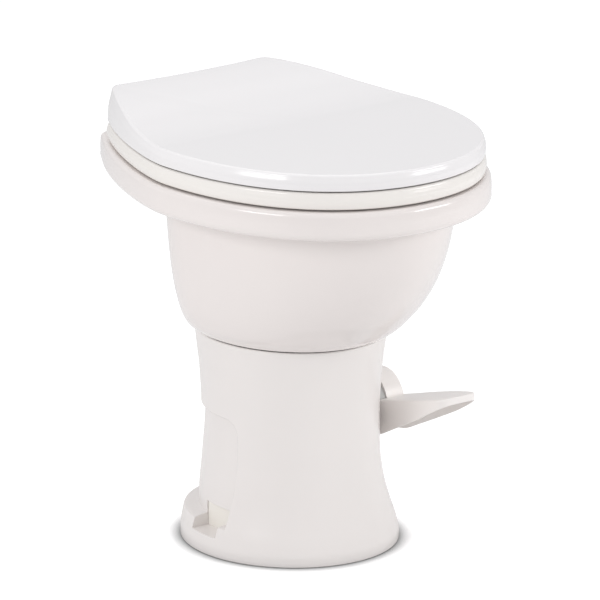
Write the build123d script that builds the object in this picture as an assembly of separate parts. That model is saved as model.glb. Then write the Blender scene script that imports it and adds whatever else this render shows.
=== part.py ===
from build123d import *
from math import asin, cos, pi, radians, sin, sqrt, tan
import os

# A gravity-flush toilet for a camper: china bowl on a moulded pedestal, foot pedal on the
# right-hand side, moulded seat and lid. Millimetres, +Z up, the front faces -Y.
# The origin is on the floor, on the centre line of the waste outlet.

os.makedirs("parts", exist_ok=True)

# Heights, stacked from the floor up
base_height = 243.0
gasket_thickness = 1.5
bowl_height = 190.0
rim_depth = 32.5
seat_gap = 2.5
seat_thickness = 18.5
lid_gap = 2.0
lid_front_thickness = 17.5
lid_back_thickness = 38.5

# Plan of the seat, which the lid and the bowl's rim follow
seat_half_width = 183.2
seat_front = 241.7
seat_widest = -9.8
seat_back = 187.5
seat_back_half_width = 112.8
seat_back_dip = 5.0
seat_side_slope = 32.0
front_handle_share = 0.60
side_start_handle_share = 0.18
side_end_handle_share = 0.39
seat_corner_radius = 12.0
rim_overhang = 5.5
rim_corner_radius = 16.0
rim_top_round = 6.0
rim_bottom_round = 9.0

# Pedestal: its foot is an oval, and the rows below it are shares of the foot's sizes
foot_half_width = 118.8
foot_front = 124.4
foot_back = 129.0
base_wall = 4.5
foot_plate = 10.0
base_level_shares = [
    (0.04, 1.000, 1.000, 1.000),
    (0.08, 0.980, 0.985, 1.000),
    (0.12, 0.954, 0.966, 0.998),
    (0.16, 0.923, 0.946, 0.945),
    (0.21, 0.887, 0.923, 0.885),
    (0.26, 0.854, 0.905, 0.870),
    (0.31, 0.828, 0.892, 0.864),
    (0.44, 0.792, 0.870, 0.848),
    (0.62, 0.787, 0.864, 0.836),
    (0.80, 0.809, 0.880, 0.845),
    (0.90, 0.831, 0.900, 0.865),
    (1.00, 0.857, 0.930, 0.879),
]
# The trunk is set back behind the side panels: height, width and back shares
trunk_level_shares = [
    (0.18, 0.800, 0.875),
    (0.25, 0.791, 0.872),
    (0.31, 0.778, 0.861),
    (0.39, 0.762, 0.850),
    (0.48, 0.750, 0.832),
    (0.56, 0.7455, 0.813),
    (0.70, 0.7455, 0.779),
]
trunk_top_drop = 91.0
trunk_front = 22.0
trunk_corner_radius = 18.0
trunk_bottom = 34.0

# Floor bolts, reached through a pocket on each side of the foot that a snap-in cover closes
floor_bolt_spacing = 152.4
floor_slot_width = 9.0
floor_slot_length = 18.0
pocket_floor = 21.0
pocket_height = 28.0
pocket_ahead = 13.0
pocket_behind = 33.0
pocket_wall = 4.0
pocket_back_clearance = 10.0
cover_setback = 5.6
cover_thickness = 2.5
cover_gap = 0.3

# Waste way
outlet_radius = 38.0
outlet_wall = 4.0
outlet_lift = 2.0
floor_seal_radius = 52.0
floor_seal_height = 8.0
floor_seal_lift = 0.4
body_clearance = 0.3
chamber_foot_radius = 61.0
chamber_foot_thickness = 4.0
chamber_screw_circle = 55.8
chamber_screw_count = 4
chamber_screw_radius = 1.9
chamber_screw_head_radius = 3.8
chamber_screw_head_height = 2.6
chamber_screw_depth = 7.0

# Flush ball: a curved blade that swings under the seal
shaft_drop = 107.0
ball_radius = 64.0
ball_wall = 4.0
ball_swing_clearance = 3.0
ball_half_angle = 34.0
ball_ear_inner = 50.0
ball_ear_thickness = 6.0
ball_ear_half_width = 14.0
ball_hub_radius = 12.0
ball_hub_inner = 44.0
ball_hub_outer = 61.0
chamber_wall = 4.0
chamber_flange_radius = 80.0
chamber_flange_thickness = 6.0
chamber_boss_radius = 14.0
seal_thickness = 4.0
seal_opening_radius = 33.0
seal_ball_clearance = 0.25
throat_radius = 38.0
throat_flange_thickness = 10.0
throat_wall_radius = 56.0

# Clamp band round the two flanges
band_thickness = 1.6
band_lip = 5.0
band_clearance = 0.3
band_split = 9.0
band_lug_length = 11.0
band_lug_thickness = 3.0
band_lug_height = 16.0
band_screw_radius = 2.5
band_screw_head_radius = 4.6
band_screw_head_height = 3.5
band_nut_width = 8.0
band_nut_height = 4.0

# Shaft, bushings and rings
shaft_radius = 7.0
running_clearance = 0.05
bushing_wall = 3.0
bushing_length = 11.0
bushing_start = 66.0
chamber_boss_setback = 7.0
ring_wire = 1.6
ring_gap = 0.3
shaft_inner = 47.0

# Pedal, its hub and the spring inside the hub
hub_radius = 34.5
hub_length = 25.5
hub_wall = 3.5
hub_boss_radius = 14.5
cam_setback = 9.5
cam_thickness = 12.0
cam_radius = 32.5
cam_throw = 3.14
cam_phase = -118.5
cam_bore_radius = 26.5
cam_spigot_length = 4.0
hub_gap = 0.3
pedal_reach = 155.0
pedal_inner_lap = 0.5
pedal_width = 60.5
pedal_wall = 3.5
pedal_top_at_hub = 2.0
pedal_slope = 11.0
pedal_tip_thickness = 6.0
pedal_heel_reach = 37.0
pedal_heel_drop = 30.0
pedal_belly_reach = 101.0
pedal_belly_drop = 4.0
pedal_straight = 112.0
pedal_round_reach = 140.0
pedal_shoulder_reach = 105.0
pedal_flare_start = 60.0
pedal_flare_end = 50.0
pedal_tip_share = 0.28
pedal_edge_round = 2.5
pedal_bolt_radius = 3.0
pedal_bolt_head_radius = 6.0
pedal_bolt_head_height = 3.5
pedal_bolt_length = 16.0
pedal_cap_radius = 11.0
pedal_cap_thickness = 2.0
pedal_cap_recess = 6.5
spring_wire = 2.2
spring_radius = 20.5
spring_turns = 6.0
housing_plate = 4.0
housing_radius = 31.0
housing_collar = 4.5
housing_collar_radius = 24.0
housing_recess_radius = 33.0
housing_pad_radius = 36.0
housing_pad_thickness = 8.5
housing_screw_count = 3
housing_screw_circle = 27.5
housing_screw_radius = 1.8
housing_screw_head_radius = 3.2
housing_screw_head_height = 2.0
housing_screw_depth = 7.0
shaft_hole_radius = 8.5

# Water valve, pushed by the cam behind the hub
valve_arm_end = 98.0
valve_arm_half_height = 14.0
valve_front = 54.0
valve_back = 92.0
valve_half_size = 13.0
valve_corner_radius = 3.0
valve_front_bore = 6.5
valve_bore = 8.5
valve_seat_bore = 5.0
valve_seat_setback = 18.0
valve_seat_thickness = 3.0
valve_bonnet_thickness = 4.0
plunger_radius = 3.5
plunger_button_radius = 6.0
plunger_button_thickness = 2.5
plunger_face_gap = 0.25
plunger_disc_radius = 7.0
plunger_disc_thickness = 3.0
plunger_disc_gap = 0.2
valve_spring_radius = 6.4
valve_spring_wire = 1.0
valve_spring_turns = 4.0
valve_spring_clearance = 0.3
valve_screw_spread = 8.8
valve_screw_radius = 1.3
valve_screw_head_radius = 2.5
valve_screw_head_height = 1.6
valve_screw_depth = 8.0
inlet_radius = 10.4
inlet_bore = 6.0
inlet_length = 16.0
inlet_flange = 3.0
barb_radius = 5.0
barb_bore = 3.2
barb_length = 20.0
barb_setback = 26.0

# Hose and vacuum breaker behind the bowl
hose_wall = 2.0
hose_clearance = 0.1
hose_bend_radius = 30.0
hose_route_shares = [0.20, 0.42, 0.66]
breaker_side_gap = 22.0
breaker_setback = 19.0
breaker_below_spout = 24.0
breaker_height = 44.0
breaker_radius = 13.5
breaker_wall = 2.5
breaker_cap_radius = 15.5
breaker_cap_height = 9.0
breaker_spout_radius = 6.0
breaker_spout_bore = 4.2
spout_drop = 48.5
spout_reach = 29.0
grommet_radius = 9.0
grommet_length = 20.0
grommet_setback = 1.5
grommet_flange_radius = 10.2
grommet_flange_thickness = 2.5
clamp_width = 7.0
clamp_thickness = 0.9
clamp_ear = 4.0

# Bowl: each row below gives a height, half width, front and back as shares of these sizes
bowl_half_width = 151.0
bowl_front = 222.0
bowl_back = 112.0
bowl_level_shares = [
    (0.000, 0.682, 0.532, 1.018),
    (0.036, 0.745, 0.580, 0.993),
    (0.086, 0.802, 0.626, 0.969),
    (0.162, 0.851, 0.684, 0.954),
    (0.251, 0.890, 0.749, 0.944),
    (0.403, 0.934, 0.835, 0.941),
    (0.548, 0.961, 0.897, 0.943),
    (0.707, 0.977, 0.948, 0.961),
    (0.859, 0.987, 0.981, 0.982),
    (1.000, 1.000, 1.000, 1.000),
]
# The throat that hangs inside the pedestal, from the clamping flange up to the joint:
# shares of the climb, then shares of the pedestal's top opening
spigot_level_shares = [
    (0.38, 0.680, 0.620, 0.620),
    (0.78, 0.870, 0.860, 0.840),
    (1.00, 1.000, 1.000, 1.000),
]
throat_level_shares = [
    (0.38, 0.500, 0.440, 0.440),
    (0.78, 0.670, 0.660, 0.610),
]
throat_spread_share = 1.04
bowl_wall = 10.0
bowl_wall_growth_share = 0.7
bowl_inside_start_share = 0.04
rim_opening_half_width = 122.0
rim_opening_front = 196.0
rim_opening_back = 98.0
spigot_wall = 12.0
deck_thickness = 14.5
deck_behind_hinge = 18.0
deck_wall = 7.5
deck_pocket_gap = 7.0
deck_pocket_side = 14.0

# Seat ring, lid and bumpers
seat_opening_half_width = 106.0
seat_opening_front = 180.0
seat_opening_back = 88.0
seat_round = 2.5
seat_inner_round = 3.5
lid_wall = 3.5
lid_side_inset = 5.5
lid_front_inset = 2.5
lid_back_inset = 1.5
lid_top_round = 2.6
bumper_radius = 7.0
bumper_recess = 1.2
bumper_rest_gap = 0.2
bumper_place_shares = [(0.68, -0.78), (0.93, 0.28)]
lid_post_radius = 9.0
seat_recess_depth = 13.0
seat_recess_wall = 6.0
# Height of the lid's top along its length: shares of the rear reach and of the rise at the back
lid_top_shares = [(-0.45, 0.0), (0.0, 0.0), (0.10, 0.03), (0.42, 0.31), (0.69, 0.72), (0.90, 0.96)]
lid_end_rise_share = 1.03
lid_end_slope_share = 0.10

# Hinge: two posts on the bowl's deck carry one pin each
hinge_setback = 15.5
hinge_rise = 17.5
post_spacing = 124.0
post_width = 16.0
post_depth = 14.0
post_foot_radius = 12.0
post_foot_thickness = 4.5
knuckle_radius = 8.0
knuckle_gap = 1.5
knuckle_width = 11.0
lid_arm_overlap = 9.0
seat_arm_width = 10.0
seat_arm_gap = 5.0
seat_arm_overlap = 11.0
seat_arm_inset = 0.5
hinge_pin_radius = 3.5
pin_head_radius = 5.5
pin_head_thickness = 2.0
pin_cap_depth = 4.0
pin_cap_wall = 1.6
hinge_bolt_radius = 4.0
hinge_bolt_in_post = 16.0
hinge_bolt_below = 16.0
hinge_hole_radius = 5.5
washer_radius = 10.0
washer_thickness = 2.0
nut_width = 14.0
nut_height = 7.0

overrun = 5.0

# Numbers of sections in the lofts, and angles in degrees
base_loft_steps = 24
trunk_loft_steps = 10
bowl_loft_steps = 14
bowl_inside_steps = 20
half_turn = 180.0
quarter_turn = 90.0
chamber_screw_turn = 45.0
chamber_arc_turn = -30.0

# Heights and places worked out from the sizes above
bowl_bottom = base_height + gasket_thickness
rim_height = bowl_bottom + bowl_height
shaft_height = base_height - shaft_drop
trunk_top = base_height - trunk_top_drop
rim_bottom = rim_height - rim_depth
seat_bottom = rim_height + seat_gap
seat_top = seat_bottom + seat_thickness
lid_bottom = seat_top + lid_gap
lid_front_top = lid_bottom + lid_front_thickness
lid_back_top = lid_bottom + lid_back_thickness
hinge_y = seat_back + hinge_setback
hinge_height = lid_bottom + hinge_rise
seat_arm_back = hinge_y + knuckle_radius
rim_back = hinge_y + deck_behind_hinge
deck_pocket_back = rim_back - deck_wall
deck_pocket_front = bowl_back + deck_pocket_gap
deck_pocket_half_width = post_spacing / 2 + deck_pocket_side
spout_height = rim_height - spout_drop
spout_inner = bowl_back - spout_reach
grommet_outer = bowl_back - grommet_setback
grommet_inner = grommet_outer - grommet_length
breaker_x = deck_pocket_half_width - breaker_side_gap
breaker_y = deck_pocket_front + breaker_setback
breaker_bottom = spout_height - breaker_below_spout
deck_bottom = rim_height - deck_thickness
chamber_inner_radius = ball_radius + ball_swing_clearance
chamber_outer_radius = chamber_inner_radius + chamber_wall
seal_contact_angle = asin(seal_opening_radius / ball_radius)
chamber_top = shaft_height + ball_radius * cos(seal_contact_angle) - seal_thickness / 2
throat_bottom = chamber_top + seal_thickness
throat_flange_top = throat_bottom + throat_flange_thickness
tube_radius = outlet_radius + outlet_wall
bushing_radius = shaft_radius + running_clearance + bushing_wall
top_half_width = foot_half_width * base_level_shares[-1][1]
top_front = foot_front * base_level_shares[-1][2]
top_back = foot_back * base_level_shares[-1][3]
trunk_half_width = foot_half_width * trunk_level_shares[-1][1]
housing_inner = trunk_half_width + body_clearance
housing_outer = housing_inner + housing_plate
chamber_boss_end = housing_inner - chamber_boss_setback
cam_inner = housing_inner + cam_setback
cam_outer = cam_inner + cam_thickness
hub_start = cam_outer + hub_gap
hub_outer = hub_start + hub_length
pedal_inner = cam_inner - pedal_inner_lap
pedal_outer = pedal_inner + pedal_width
pedal_bolt_seat = hub_outer - pedal_cap_recess
shaft_end = pedal_bolt_seat - hub_wall
pedal_bolt_end = shaft_end - pedal_bolt_length
seat_arm_inner = post_spacing / 2 + post_width / 2 + seat_arm_gap
lid_arm_outer = post_spacing / 2 - post_width / 2 - knuckle_gap
lid_arm_inner = lid_arm_outer - knuckle_width
disc_start = valve_front + valve_seat_setback + valve_seat_thickness + plunger_disc_gap
valve_x = (cam_inner + cam_outer) / 2


def box(x_low, x_high, y_low, y_high, z_low, z_high):
    """A box between two corners."""
    block = Box(x_high - x_low, y_high - y_low, z_high - z_low)
    return Pos((x_low + x_high) / 2, (y_low + y_high) / 2, (z_low + z_high) / 2) * block


def rod_x(radius, x_low, x_high, y, z):
    """A round rod along X."""
    return Pos((x_low + x_high) / 2, y, z) * Rot(0, quarter_turn, 0) * Cylinder(radius, x_high - x_low)


def rod_y(radius, y_low, y_high, x, z):
    """A round rod along Y."""
    return Pos(x, (y_low + y_high) / 2, z) * Rot(quarter_turn, 0, 0) * Cylinder(radius, y_high - y_low)


def rod_z(radius, z_low, z_high, x=0.0, y=0.0):
    """A round rod along Z."""
    return Pos(x, y, (z_low + z_high) / 2) * Cylinder(radius, z_high - z_low)


def hexagon_z(width, z_low, z_high, x, y):
    """A hexagonal prism along Z, width measured across its flats."""
    outline = RegularPolygon(width / sqrt(3), 6)
    return Pos(x, y, z_low) * extrude(outline, amount=z_high - z_low)


def extrude_x(profile, x_low, x_high):
    """Extrude a face drawn as Y and Z along X."""
    upright = Rot(0, 0, quarter_turn) * Rot(quarter_turn, 0, 0)
    return Pos(x_low, 0, 0) * upright * extrude(profile, amount=x_high - x_low)


def egg(half_width, front, back, height):
    """A level oval face: half an ellipse in front of the centre line, half behind it."""
    ahead = EllipticalCenterArc((0, 0), half_width, front, half_turn, arc_size=half_turn)
    behind = EllipticalCenterArc((0, 0), half_width, back, 0, arc_size=half_turn)
    return Pos(0, 0, height) * make_face([ahead.edge(), behind.edge()])


def save(name, solids):
    """Write one node, a solid or a list of like solids, under its own name."""
    shape = Compound(children=solids) if isinstance(solids, list) else solids
    shape.label = name
    export_step(shape, f"parts/{name}.step")


def plan_outline(grow, height, back, corner, front_grow=None, back_width_grow=None):
    """The seat's plan made larger by grow, as a level face with rounded rear corners."""
    front_grow = grow if front_grow is None else front_grow
    back_width_grow = grow if back_width_grow is None else back_width_grow
    wide = seat_half_width + grow
    tip = -(seat_front + front_grow)
    turn = seat_back_half_width + back_width_grow
    end = min(back, seat_back)
    run = end - seat_widest
    lean = radians(seat_side_slope)
    nose = Bezier(
        (0, tip),
        (wide * front_handle_share, tip),
        (wide, seat_widest + front_handle_share * (tip - seat_widest)),
        (wide, seat_widest),
    )
    side = Bezier(
        (wide, seat_widest),
        (wide, seat_widest + side_start_handle_share * run),
        (turn + side_end_handle_share * run * sin(lean), end - side_end_handle_share * run * cos(lean)),
        (turn, end),
    )
    edges = [nose.edge(), side.edge()]
    corner_x = turn - (back - end) * tan(lean)
    if back > end:
        edges.append(Line((turn, end), (corner_x, back)).edge())
    edges += [mirror(edge, about=Plane.YZ).edge() for edge in edges]
    edges.append(ThreePointArc((corner_x, back), (0, back - seat_back_dip), (-corner_x, back)).edge())
    face = make_face(edges)
    corners = face.vertices().sort_by(Axis.Y)[-2:]
    return Pos(0, 0, height) * fillet(corners, corner)


def curve_slopes(places, values):
    """Slopes for a smooth curve through the values that never overshoots them."""
    spans = list(zip(places, places[1:], values, values[1:]))
    steps = [(after - before) / (end - start) for start, end, before, after in spans]
    slopes = [steps[0]]
    for low, high in zip(steps, steps[1:]):
        slopes.append(2 * low * high / (low + high) if low * high > 0 else 0)
    return slopes + [steps[-1]]


def curve_value(places, values, place):
    """The smooth curve's value at one place."""
    slopes = curve_slopes(places, values)
    i = max(k for k in range(len(places) - 1) if places[k] <= place)
    width = places[i + 1] - places[i]
    t = (place - places[i]) / width
    start = (1 + 2 * t) * (1 - t) ** 2 * values[i] + t * (1 - t) ** 2 * width * slopes[i]
    return start + t**2 * (3 - 2 * t) * values[i + 1] + t**2 * (t - 1) * width * slopes[i + 1]


def row_at(rows, height):
    """The shares at one height, read off smooth curves through the given rows."""
    columns = list(zip(*rows))
    return [curve_value(columns[0], column, height) for column in columns[1:]]


def even_heights(rows, steps):
    """Evenly spaced heights from the first row to the last."""
    first = rows[0][0]
    last = rows[-1][0]
    return [first + (last - first) * i / steps for i in range(steps)] + [last]


def trunk_section(height):
    """One level of the set-back trunk: flat sides, half an ellipse behind."""
    width, back = row_at(trunk_level_shares, height)
    half = foot_half_width * width
    reach = trunk_front + overrun
    arc = EllipticalCenterArc((0, 0), half, foot_back * back, 0, arc_size=half_turn).edge()
    sides = Polyline((half, 0), (half, -reach), (-half, -reach), (-half, 0))
    return Pos(0, 0, base_height * height) * make_face([arc] + sides.edges())


def base_outside():
    """The pedestal's outer form, with the trunk set back below the collar."""
    levels = []
    for height in even_heights(base_level_shares, base_loft_steps):
        width, front, back = row_at(base_level_shares, height)
        level = base_height * height
        levels.append(egg(foot_half_width * width, foot_front * front, foot_back * back, level))
    reach = foot_half_width + overrun
    panel = box(-reach, reach, -trunk_front, foot_back + overrun, trunk_bottom, trunk_top)
    front_edge = panel.edges().filter_by(Axis.X).sort_by(Axis.Z)[-2:].sort_by(Axis.Y)[0]
    panel = fillet(front_edge, trunk_corner_radius)
    heights = even_heights(trunk_level_shares, trunk_loft_steps)
    trunk = loft([trunk_section(height) for height in heights])
    foot = Pos(0, 0, -levels[0].center().Z) * extrude(levels[0], amount=levels[0].center().Z)
    return foot + loft(levels) - (panel - trunk)


def base_inside():
    """The hollow of the pedestal above its foot plate."""
    levels = []
    for height in even_heights(base_level_shares, base_loft_steps):
        width, front, back = row_at(base_level_shares, height)
        if height <= trunk_level_shares[-1][0]:
            trunk_width, trunk_back = row_at(trunk_level_shares, max(height, trunk_level_shares[0][0]))
            width = min(width, trunk_width)
            back = min(back, trunk_back)
        half = foot_half_width * width - base_wall
        ahead = foot_front * front - base_wall
        behind = foot_back * back - base_wall
        if base_height * height > foot_plate:
            levels.append(egg(half, ahead, behind, base_height * height))
    bottom = Pos(0, 0, foot_plate - levels[0].center().Z) * levels[0]
    top = extrude(levels[-1], amount=overrun)
    return loft([bottom] + levels) + top


def pedestal_base():
    """The moulded pedestal: shell, foot plate, bolt pockets and the opening for the shaft."""
    outside = base_outside()
    shell = outside - base_inside()
    shell = shell - rod_x(housing_recess_radius, housing_inner, foot_half_width, 0, shaft_height)
    pad_inner = housing_inner - housing_pad_thickness
    shell = shell + rod_x(housing_pad_radius, pad_inner, housing_inner, 0, shaft_height)
    pocket_inner = floor_bolt_spacing / 2 - pocket_back_clearance
    frame = box(
        pocket_inner - pocket_wall, foot_half_width, -pocket_ahead - pocket_wall,
        pocket_behind + pocket_wall, 0, pocket_floor + pocket_height + pocket_wall,
    )
    pocket = box(
        pocket_inner, foot_half_width + overrun, -pocket_ahead, pocket_behind,
        pocket_floor, pocket_floor + pocket_height,
    )
    slot = Pos(floor_bolt_spacing / 2, 0, -overrun) * extrude(
        SlotOverall(floor_slot_length, floor_slot_width), amount=pocket_floor + 2 * overrun
    )
    for form in (frame, mirror(frame, about=Plane.YZ)):
        shell = shell + (form & outside)
    for form in (pocket, slot):
        shell = shell - form - mirror(form, about=Plane.YZ)
    shell = shell - rod_z(floor_seal_radius, -overrun, floor_seal_height)
    shell = shell - rod_z(tube_radius + body_clearance, -overrun, foot_plate + overrun)
    boss_hole_radius = chamber_boss_radius + 2 * body_clearance
    shell = shell - rod_x(boss_hole_radius, 0, chamber_boss_end + body_clearance, 0, shaft_height)
    shell = shell - rod_x(shaft_hole_radius, 0, foot_half_width, 0, shaft_height)
    for x, y in chamber_screw_places():
        low = foot_plate - chamber_screw_depth
        shell = shell - rod_z(chamber_screw_radius + body_clearance, low, foot_plate, x, y)
    for y, z in housing_screw_places():
        low = housing_inner - housing_screw_depth
        shell = shell - rod_x(housing_screw_radius + body_clearance, low, housing_inner, y, z)
    return shell


def pocket_covers():
    """Snap-in covers that stand in the floor-bolt pockets, just behind the trunk's face."""
    outer = foot_half_width * trunk_level_shares[0][1] - cover_setback
    cover = box(
        outer - cover_thickness, outer, cover_gap - pocket_ahead, pocket_behind - cover_gap,
        pocket_floor, pocket_floor + pocket_height - cover_gap,
    )
    return [cover, mirror(cover, about=Plane.YZ)]


def chamber_screw_places():
    """Screw places round the chamber's foot."""
    first = radians(chamber_screw_turn)
    turns = [first + 2 * pi * i / chamber_screw_count for i in range(chamber_screw_count)]
    return [(chamber_screw_circle * cos(turn), chamber_screw_circle * sin(turn)) for turn in turns]


def housing_screw_places():
    """Screw places round the spring housing, in Y and Z."""
    first = radians(quarter_turn)
    turns = [first + 2 * pi * i / housing_screw_count for i in range(housing_screw_count)]
    circle = housing_screw_circle
    return [(circle * cos(turn), shaft_height + circle * sin(turn)) for turn in turns]


def flush_chamber():
    """The chamber that holds the flush ball, with the outlet tube down to the floor."""
    inner_throat = shaft_height - sqrt(chamber_inner_radius**2 - outlet_radius**2)
    outer_throat = shaft_height - sqrt(chamber_outer_radius**2 - tube_radius**2)
    arc_turn = radians(chamber_arc_turn)
    outer = [
        Line((0, outlet_lift), (tube_radius, outlet_lift)),
        Line((tube_radius, outlet_lift), (tube_radius, outer_throat)),
        ThreePointArc(
            (tube_radius, outer_throat),
            (chamber_outer_radius * cos(arc_turn), shaft_height + chamber_outer_radius * sin(arc_turn)),
            (chamber_outer_radius, shaft_height),
        ),
        Polyline(
            (chamber_outer_radius, shaft_height), (chamber_outer_radius, chamber_top), (0, chamber_top)
        ),
        Line((0, chamber_top), (0, outlet_lift)),
    ]
    inner = [
        Line((0, -overrun), (outlet_radius, -overrun)),
        Line((outlet_radius, -overrun), (outlet_radius, inner_throat)),
        ThreePointArc(
            (outlet_radius, inner_throat),
            (chamber_inner_radius * cos(arc_turn), shaft_height + chamber_inner_radius * sin(arc_turn)),
            (chamber_inner_radius, shaft_height),
        ),
        Polyline(
            (chamber_inner_radius, shaft_height), (chamber_inner_radius, chamber_top + overrun),
            (0, chamber_top + overrun),
        ),
        Line((0, chamber_top + overrun), (0, -overrun)),
    ]
    body = turned(outer)
    body = body + rod_z(chamber_flange_radius, chamber_top - chamber_flange_thickness, chamber_top)
    body = body + rod_z(chamber_foot_radius, foot_plate, foot_plate + chamber_foot_thickness)
    body = body + rod_x(chamber_boss_radius, -chamber_boss_end, chamber_boss_end, 0, shaft_height)
    body = body - turned(inner)
    body = body - rod_x(bushing_radius, 0, cam_inner, 0, shaft_height)
    body = body - rod_x(bushing_radius, -bushing_start - bushing_length, 0, 0, shaft_height)
    top = foot_plate + chamber_foot_thickness + overrun
    for x, y in chamber_screw_places():
        body = body - rod_z(chamber_screw_radius + body_clearance, 0, top, x, y)
    return body


def turned(lines):
    """Revolve a closed profile, drawn as radius and height, about the Z axis."""
    edges = [edge for line in lines for edge in line.edges()]
    profile = Rot(quarter_turn, 0, 0) * make_face(edges)
    return revolve(profile, Axis.Z)


def chamber_screws():
    """Pan-head screws that hold the chamber down to the foot plate."""
    head_base = foot_plate + chamber_foot_thickness
    head_top = head_base + chamber_screw_head_height
    screws = []
    for x, y in chamber_screw_places():
        shank = rod_z(chamber_screw_radius, foot_plate - chamber_screw_depth, head_base, x, y)
        screws.append(shank + rod_z(chamber_screw_head_radius, head_base, head_top, x, y))
    return screws


def floor_seal():
    """Rubber ring between the foot plate and the floor flange."""
    ring = rod_z(floor_seal_radius - body_clearance, floor_seal_lift, floor_seal_height)
    return ring - rod_z(tube_radius + body_clearance, 0, floor_seal_height + overrun)


def ball_seal():
    """Rubber seal clamped between the bowl and the chamber, its lip on the ball."""
    ring = rod_z(chamber_flange_radius - body_clearance, chamber_top, throat_bottom)
    ring = ring - rod_z(seal_opening_radius - seal_thickness / 2, 0, rim_height)
    return ring - Pos(0, 0, shaft_height) * Sphere(ball_radius + seal_ball_clearance)


def clamp_band():
    """Split steel band that draws the bowl's flange down onto the chamber's flange."""
    low = chamber_top - chamber_flange_thickness
    outer = chamber_flange_radius + band_clearance + band_thickness
    top = throat_flange_top + band_clearance
    bottom = low - band_clearance
    ring = rod_z(outer, bottom - band_thickness, top + band_thickness)
    ring = ring - rod_z(chamber_flange_radius + band_clearance, bottom, top)
    ring = ring - rod_z(chamber_flange_radius - band_lip, 0, rim_height)
    ring = ring - box(-band_split / 2, band_split / 2, 0, outer + overrun, 0, rim_height)
    middle = (low + throat_flange_top) / 2
    lug_start = band_split / 2
    lug = box(
        lug_start, lug_start + band_lug_thickness, outer - band_thickness, outer + band_lug_length,
        middle - band_lug_height / 2, middle + band_lug_height / 2,
    )
    y, z = band_screw_place()
    hole = rod_x(band_screw_radius + body_clearance, -outer, outer, y, z)
    return ring + lug + mirror(lug, about=Plane.YZ) - hole


def band_screw_place():
    """Where the clamp screw crosses the band's lugs."""
    outer = chamber_flange_radius + band_clearance + band_thickness
    middle = (chamber_top - chamber_flange_thickness + throat_flange_top) / 2
    return outer + band_lug_length / 2, middle


def clamp_screw():
    """Screw across the band's two lugs."""
    y, z = band_screw_place()
    half = band_split / 2 + band_lug_thickness
    shank = rod_x(band_screw_radius, -half - 2 * band_nut_height, half, y, z)
    return shank + rod_x(band_screw_head_radius, half, half + band_screw_head_height, y, z)


def clamp_nut():
    """Nut on the clamp screw."""
    y, z = band_screw_place()
    half = band_split / 2 + band_lug_thickness
    nut = extrude(RegularPolygon(band_nut_width / sqrt(3), 6), amount=band_nut_height)
    nut = Pos(-half - band_nut_height, y, z) * Rot(0, quarter_turn, 0) * nut
    return nut - rod_x(band_screw_radius + running_clearance, -seat_half_width, 0, y, z)


def bowl_gasket():
    """Soft ring in the joint between the bowl and the pedestal."""
    inset = base_wall / 3
    ring = egg(top_half_width - inset, top_front - inset, top_back - inset, base_height)
    hole = egg(top_half_width - base_wall, top_front - base_wall, top_back - base_wall, base_height)
    return extrude(ring, amount=gasket_thickness) - extrude(hole, amount=gasket_thickness)


def bowl_level(height, inset):
    """One level of the bowl between the gasket and the underside of the rim."""
    width, front, back = row_at(bowl_level_shares, height)
    half = bowl_half_width * width - inset
    level = bowl_bottom + height * (rim_bottom - bowl_bottom)
    return egg(half, bowl_front * front - inset, bowl_back * back - inset, level)


def throat_level(row, inset):
    """One level of the throat between the clamping flange and the joint."""
    share, width, front, back = row
    level = throat_flange_top + share * (bowl_bottom - throat_flange_top)
    half = (top_half_width - inset) * width
    return egg(half, (top_front - inset) * front, (top_back - inset) * back, level)


def bowl_spigot():
    """The tapered throat that hangs inside the pedestal, with its clamping flange."""
    inset = base_wall + gasket_thickness
    levels = [egg(throat_wall_radius, throat_wall_radius, throat_wall_radius, throat_flange_top)]
    levels += [throat_level(row, inset) for row in spigot_level_shares]
    return loft(levels) + rod_z(chamber_flange_radius, throat_bottom, throat_flange_top)


def bowl_hollow():
    """The inside of the bowl from the throat to the underside of the rim."""
    spread = throat_radius * throat_spread_share
    levels = [egg(spread, spread, spread, throat_flange_top)]
    levels += [throat_level(row, 0) for row in throat_level_shares]
    for height in even_heights(bowl_level_shares, bowl_inside_steps):
        if height > bowl_inside_start_share:
            inset = bowl_wall * (1 + bowl_wall_growth_share * (1 - height) ** 2)
            levels.append(bowl_level(height, inset))
    return loft(levels)


def bowl():
    """The glazed china bowl with its thick rim and the hinge deck behind."""
    body = loft([bowl_level(height, 0) for height in even_heights(bowl_level_shares, bowl_loft_steps)])
    rim = extrude(plan_outline(rim_overhang, rim_bottom, rim_back, rim_corner_radius), amount=rim_depth)
    rim = fillet(rim.faces().sort_by(Axis.Z)[-1].outer_wire().edges(), rim_top_round)
    rim = fillet(rim.faces().sort_by(Axis.Z)[0].outer_wire().edges(), rim_bottom_round)
    opening = egg(rim_opening_half_width, rim_opening_front, rim_opening_back, rim_bottom)
    rim = rim - extrude(opening, amount=rim_depth + overrun)
    china = body + rim + bowl_spigot() - bowl_hollow()
    china = china - rod_z(throat_radius, chamber_top - overrun, throat_flange_top)
    china = china - box(
        -deck_pocket_half_width, deck_pocket_half_width, deck_pocket_front, deck_pocket_back,
        rim_bottom - overrun, deck_bottom,
    )
    china = china - rod_y(grommet_radius, spout_inner, deck_pocket_front, breaker_x, spout_height)
    for side in (1, -1):
        x = side * post_spacing / 2
        china = china - rod_z(hinge_hole_radius, rim_bottom, rim_height + overrun, x, hinge_y)
    return china


def shaft_bushings():
    """Bearing sleeves for the two ends of the ball."""
    end = bushing_start + bushing_length
    bore = rod_x(shaft_radius + running_clearance, -end - overrun, end + overrun, 0, shaft_height)
    sleeves = []
    for low, high in ((bushing_start, end), (-end, -bushing_start)):
        sleeves.append(rod_x(bushing_radius - running_clearance, low, high, 0, shaft_height) - bore)
    return sleeves


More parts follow.
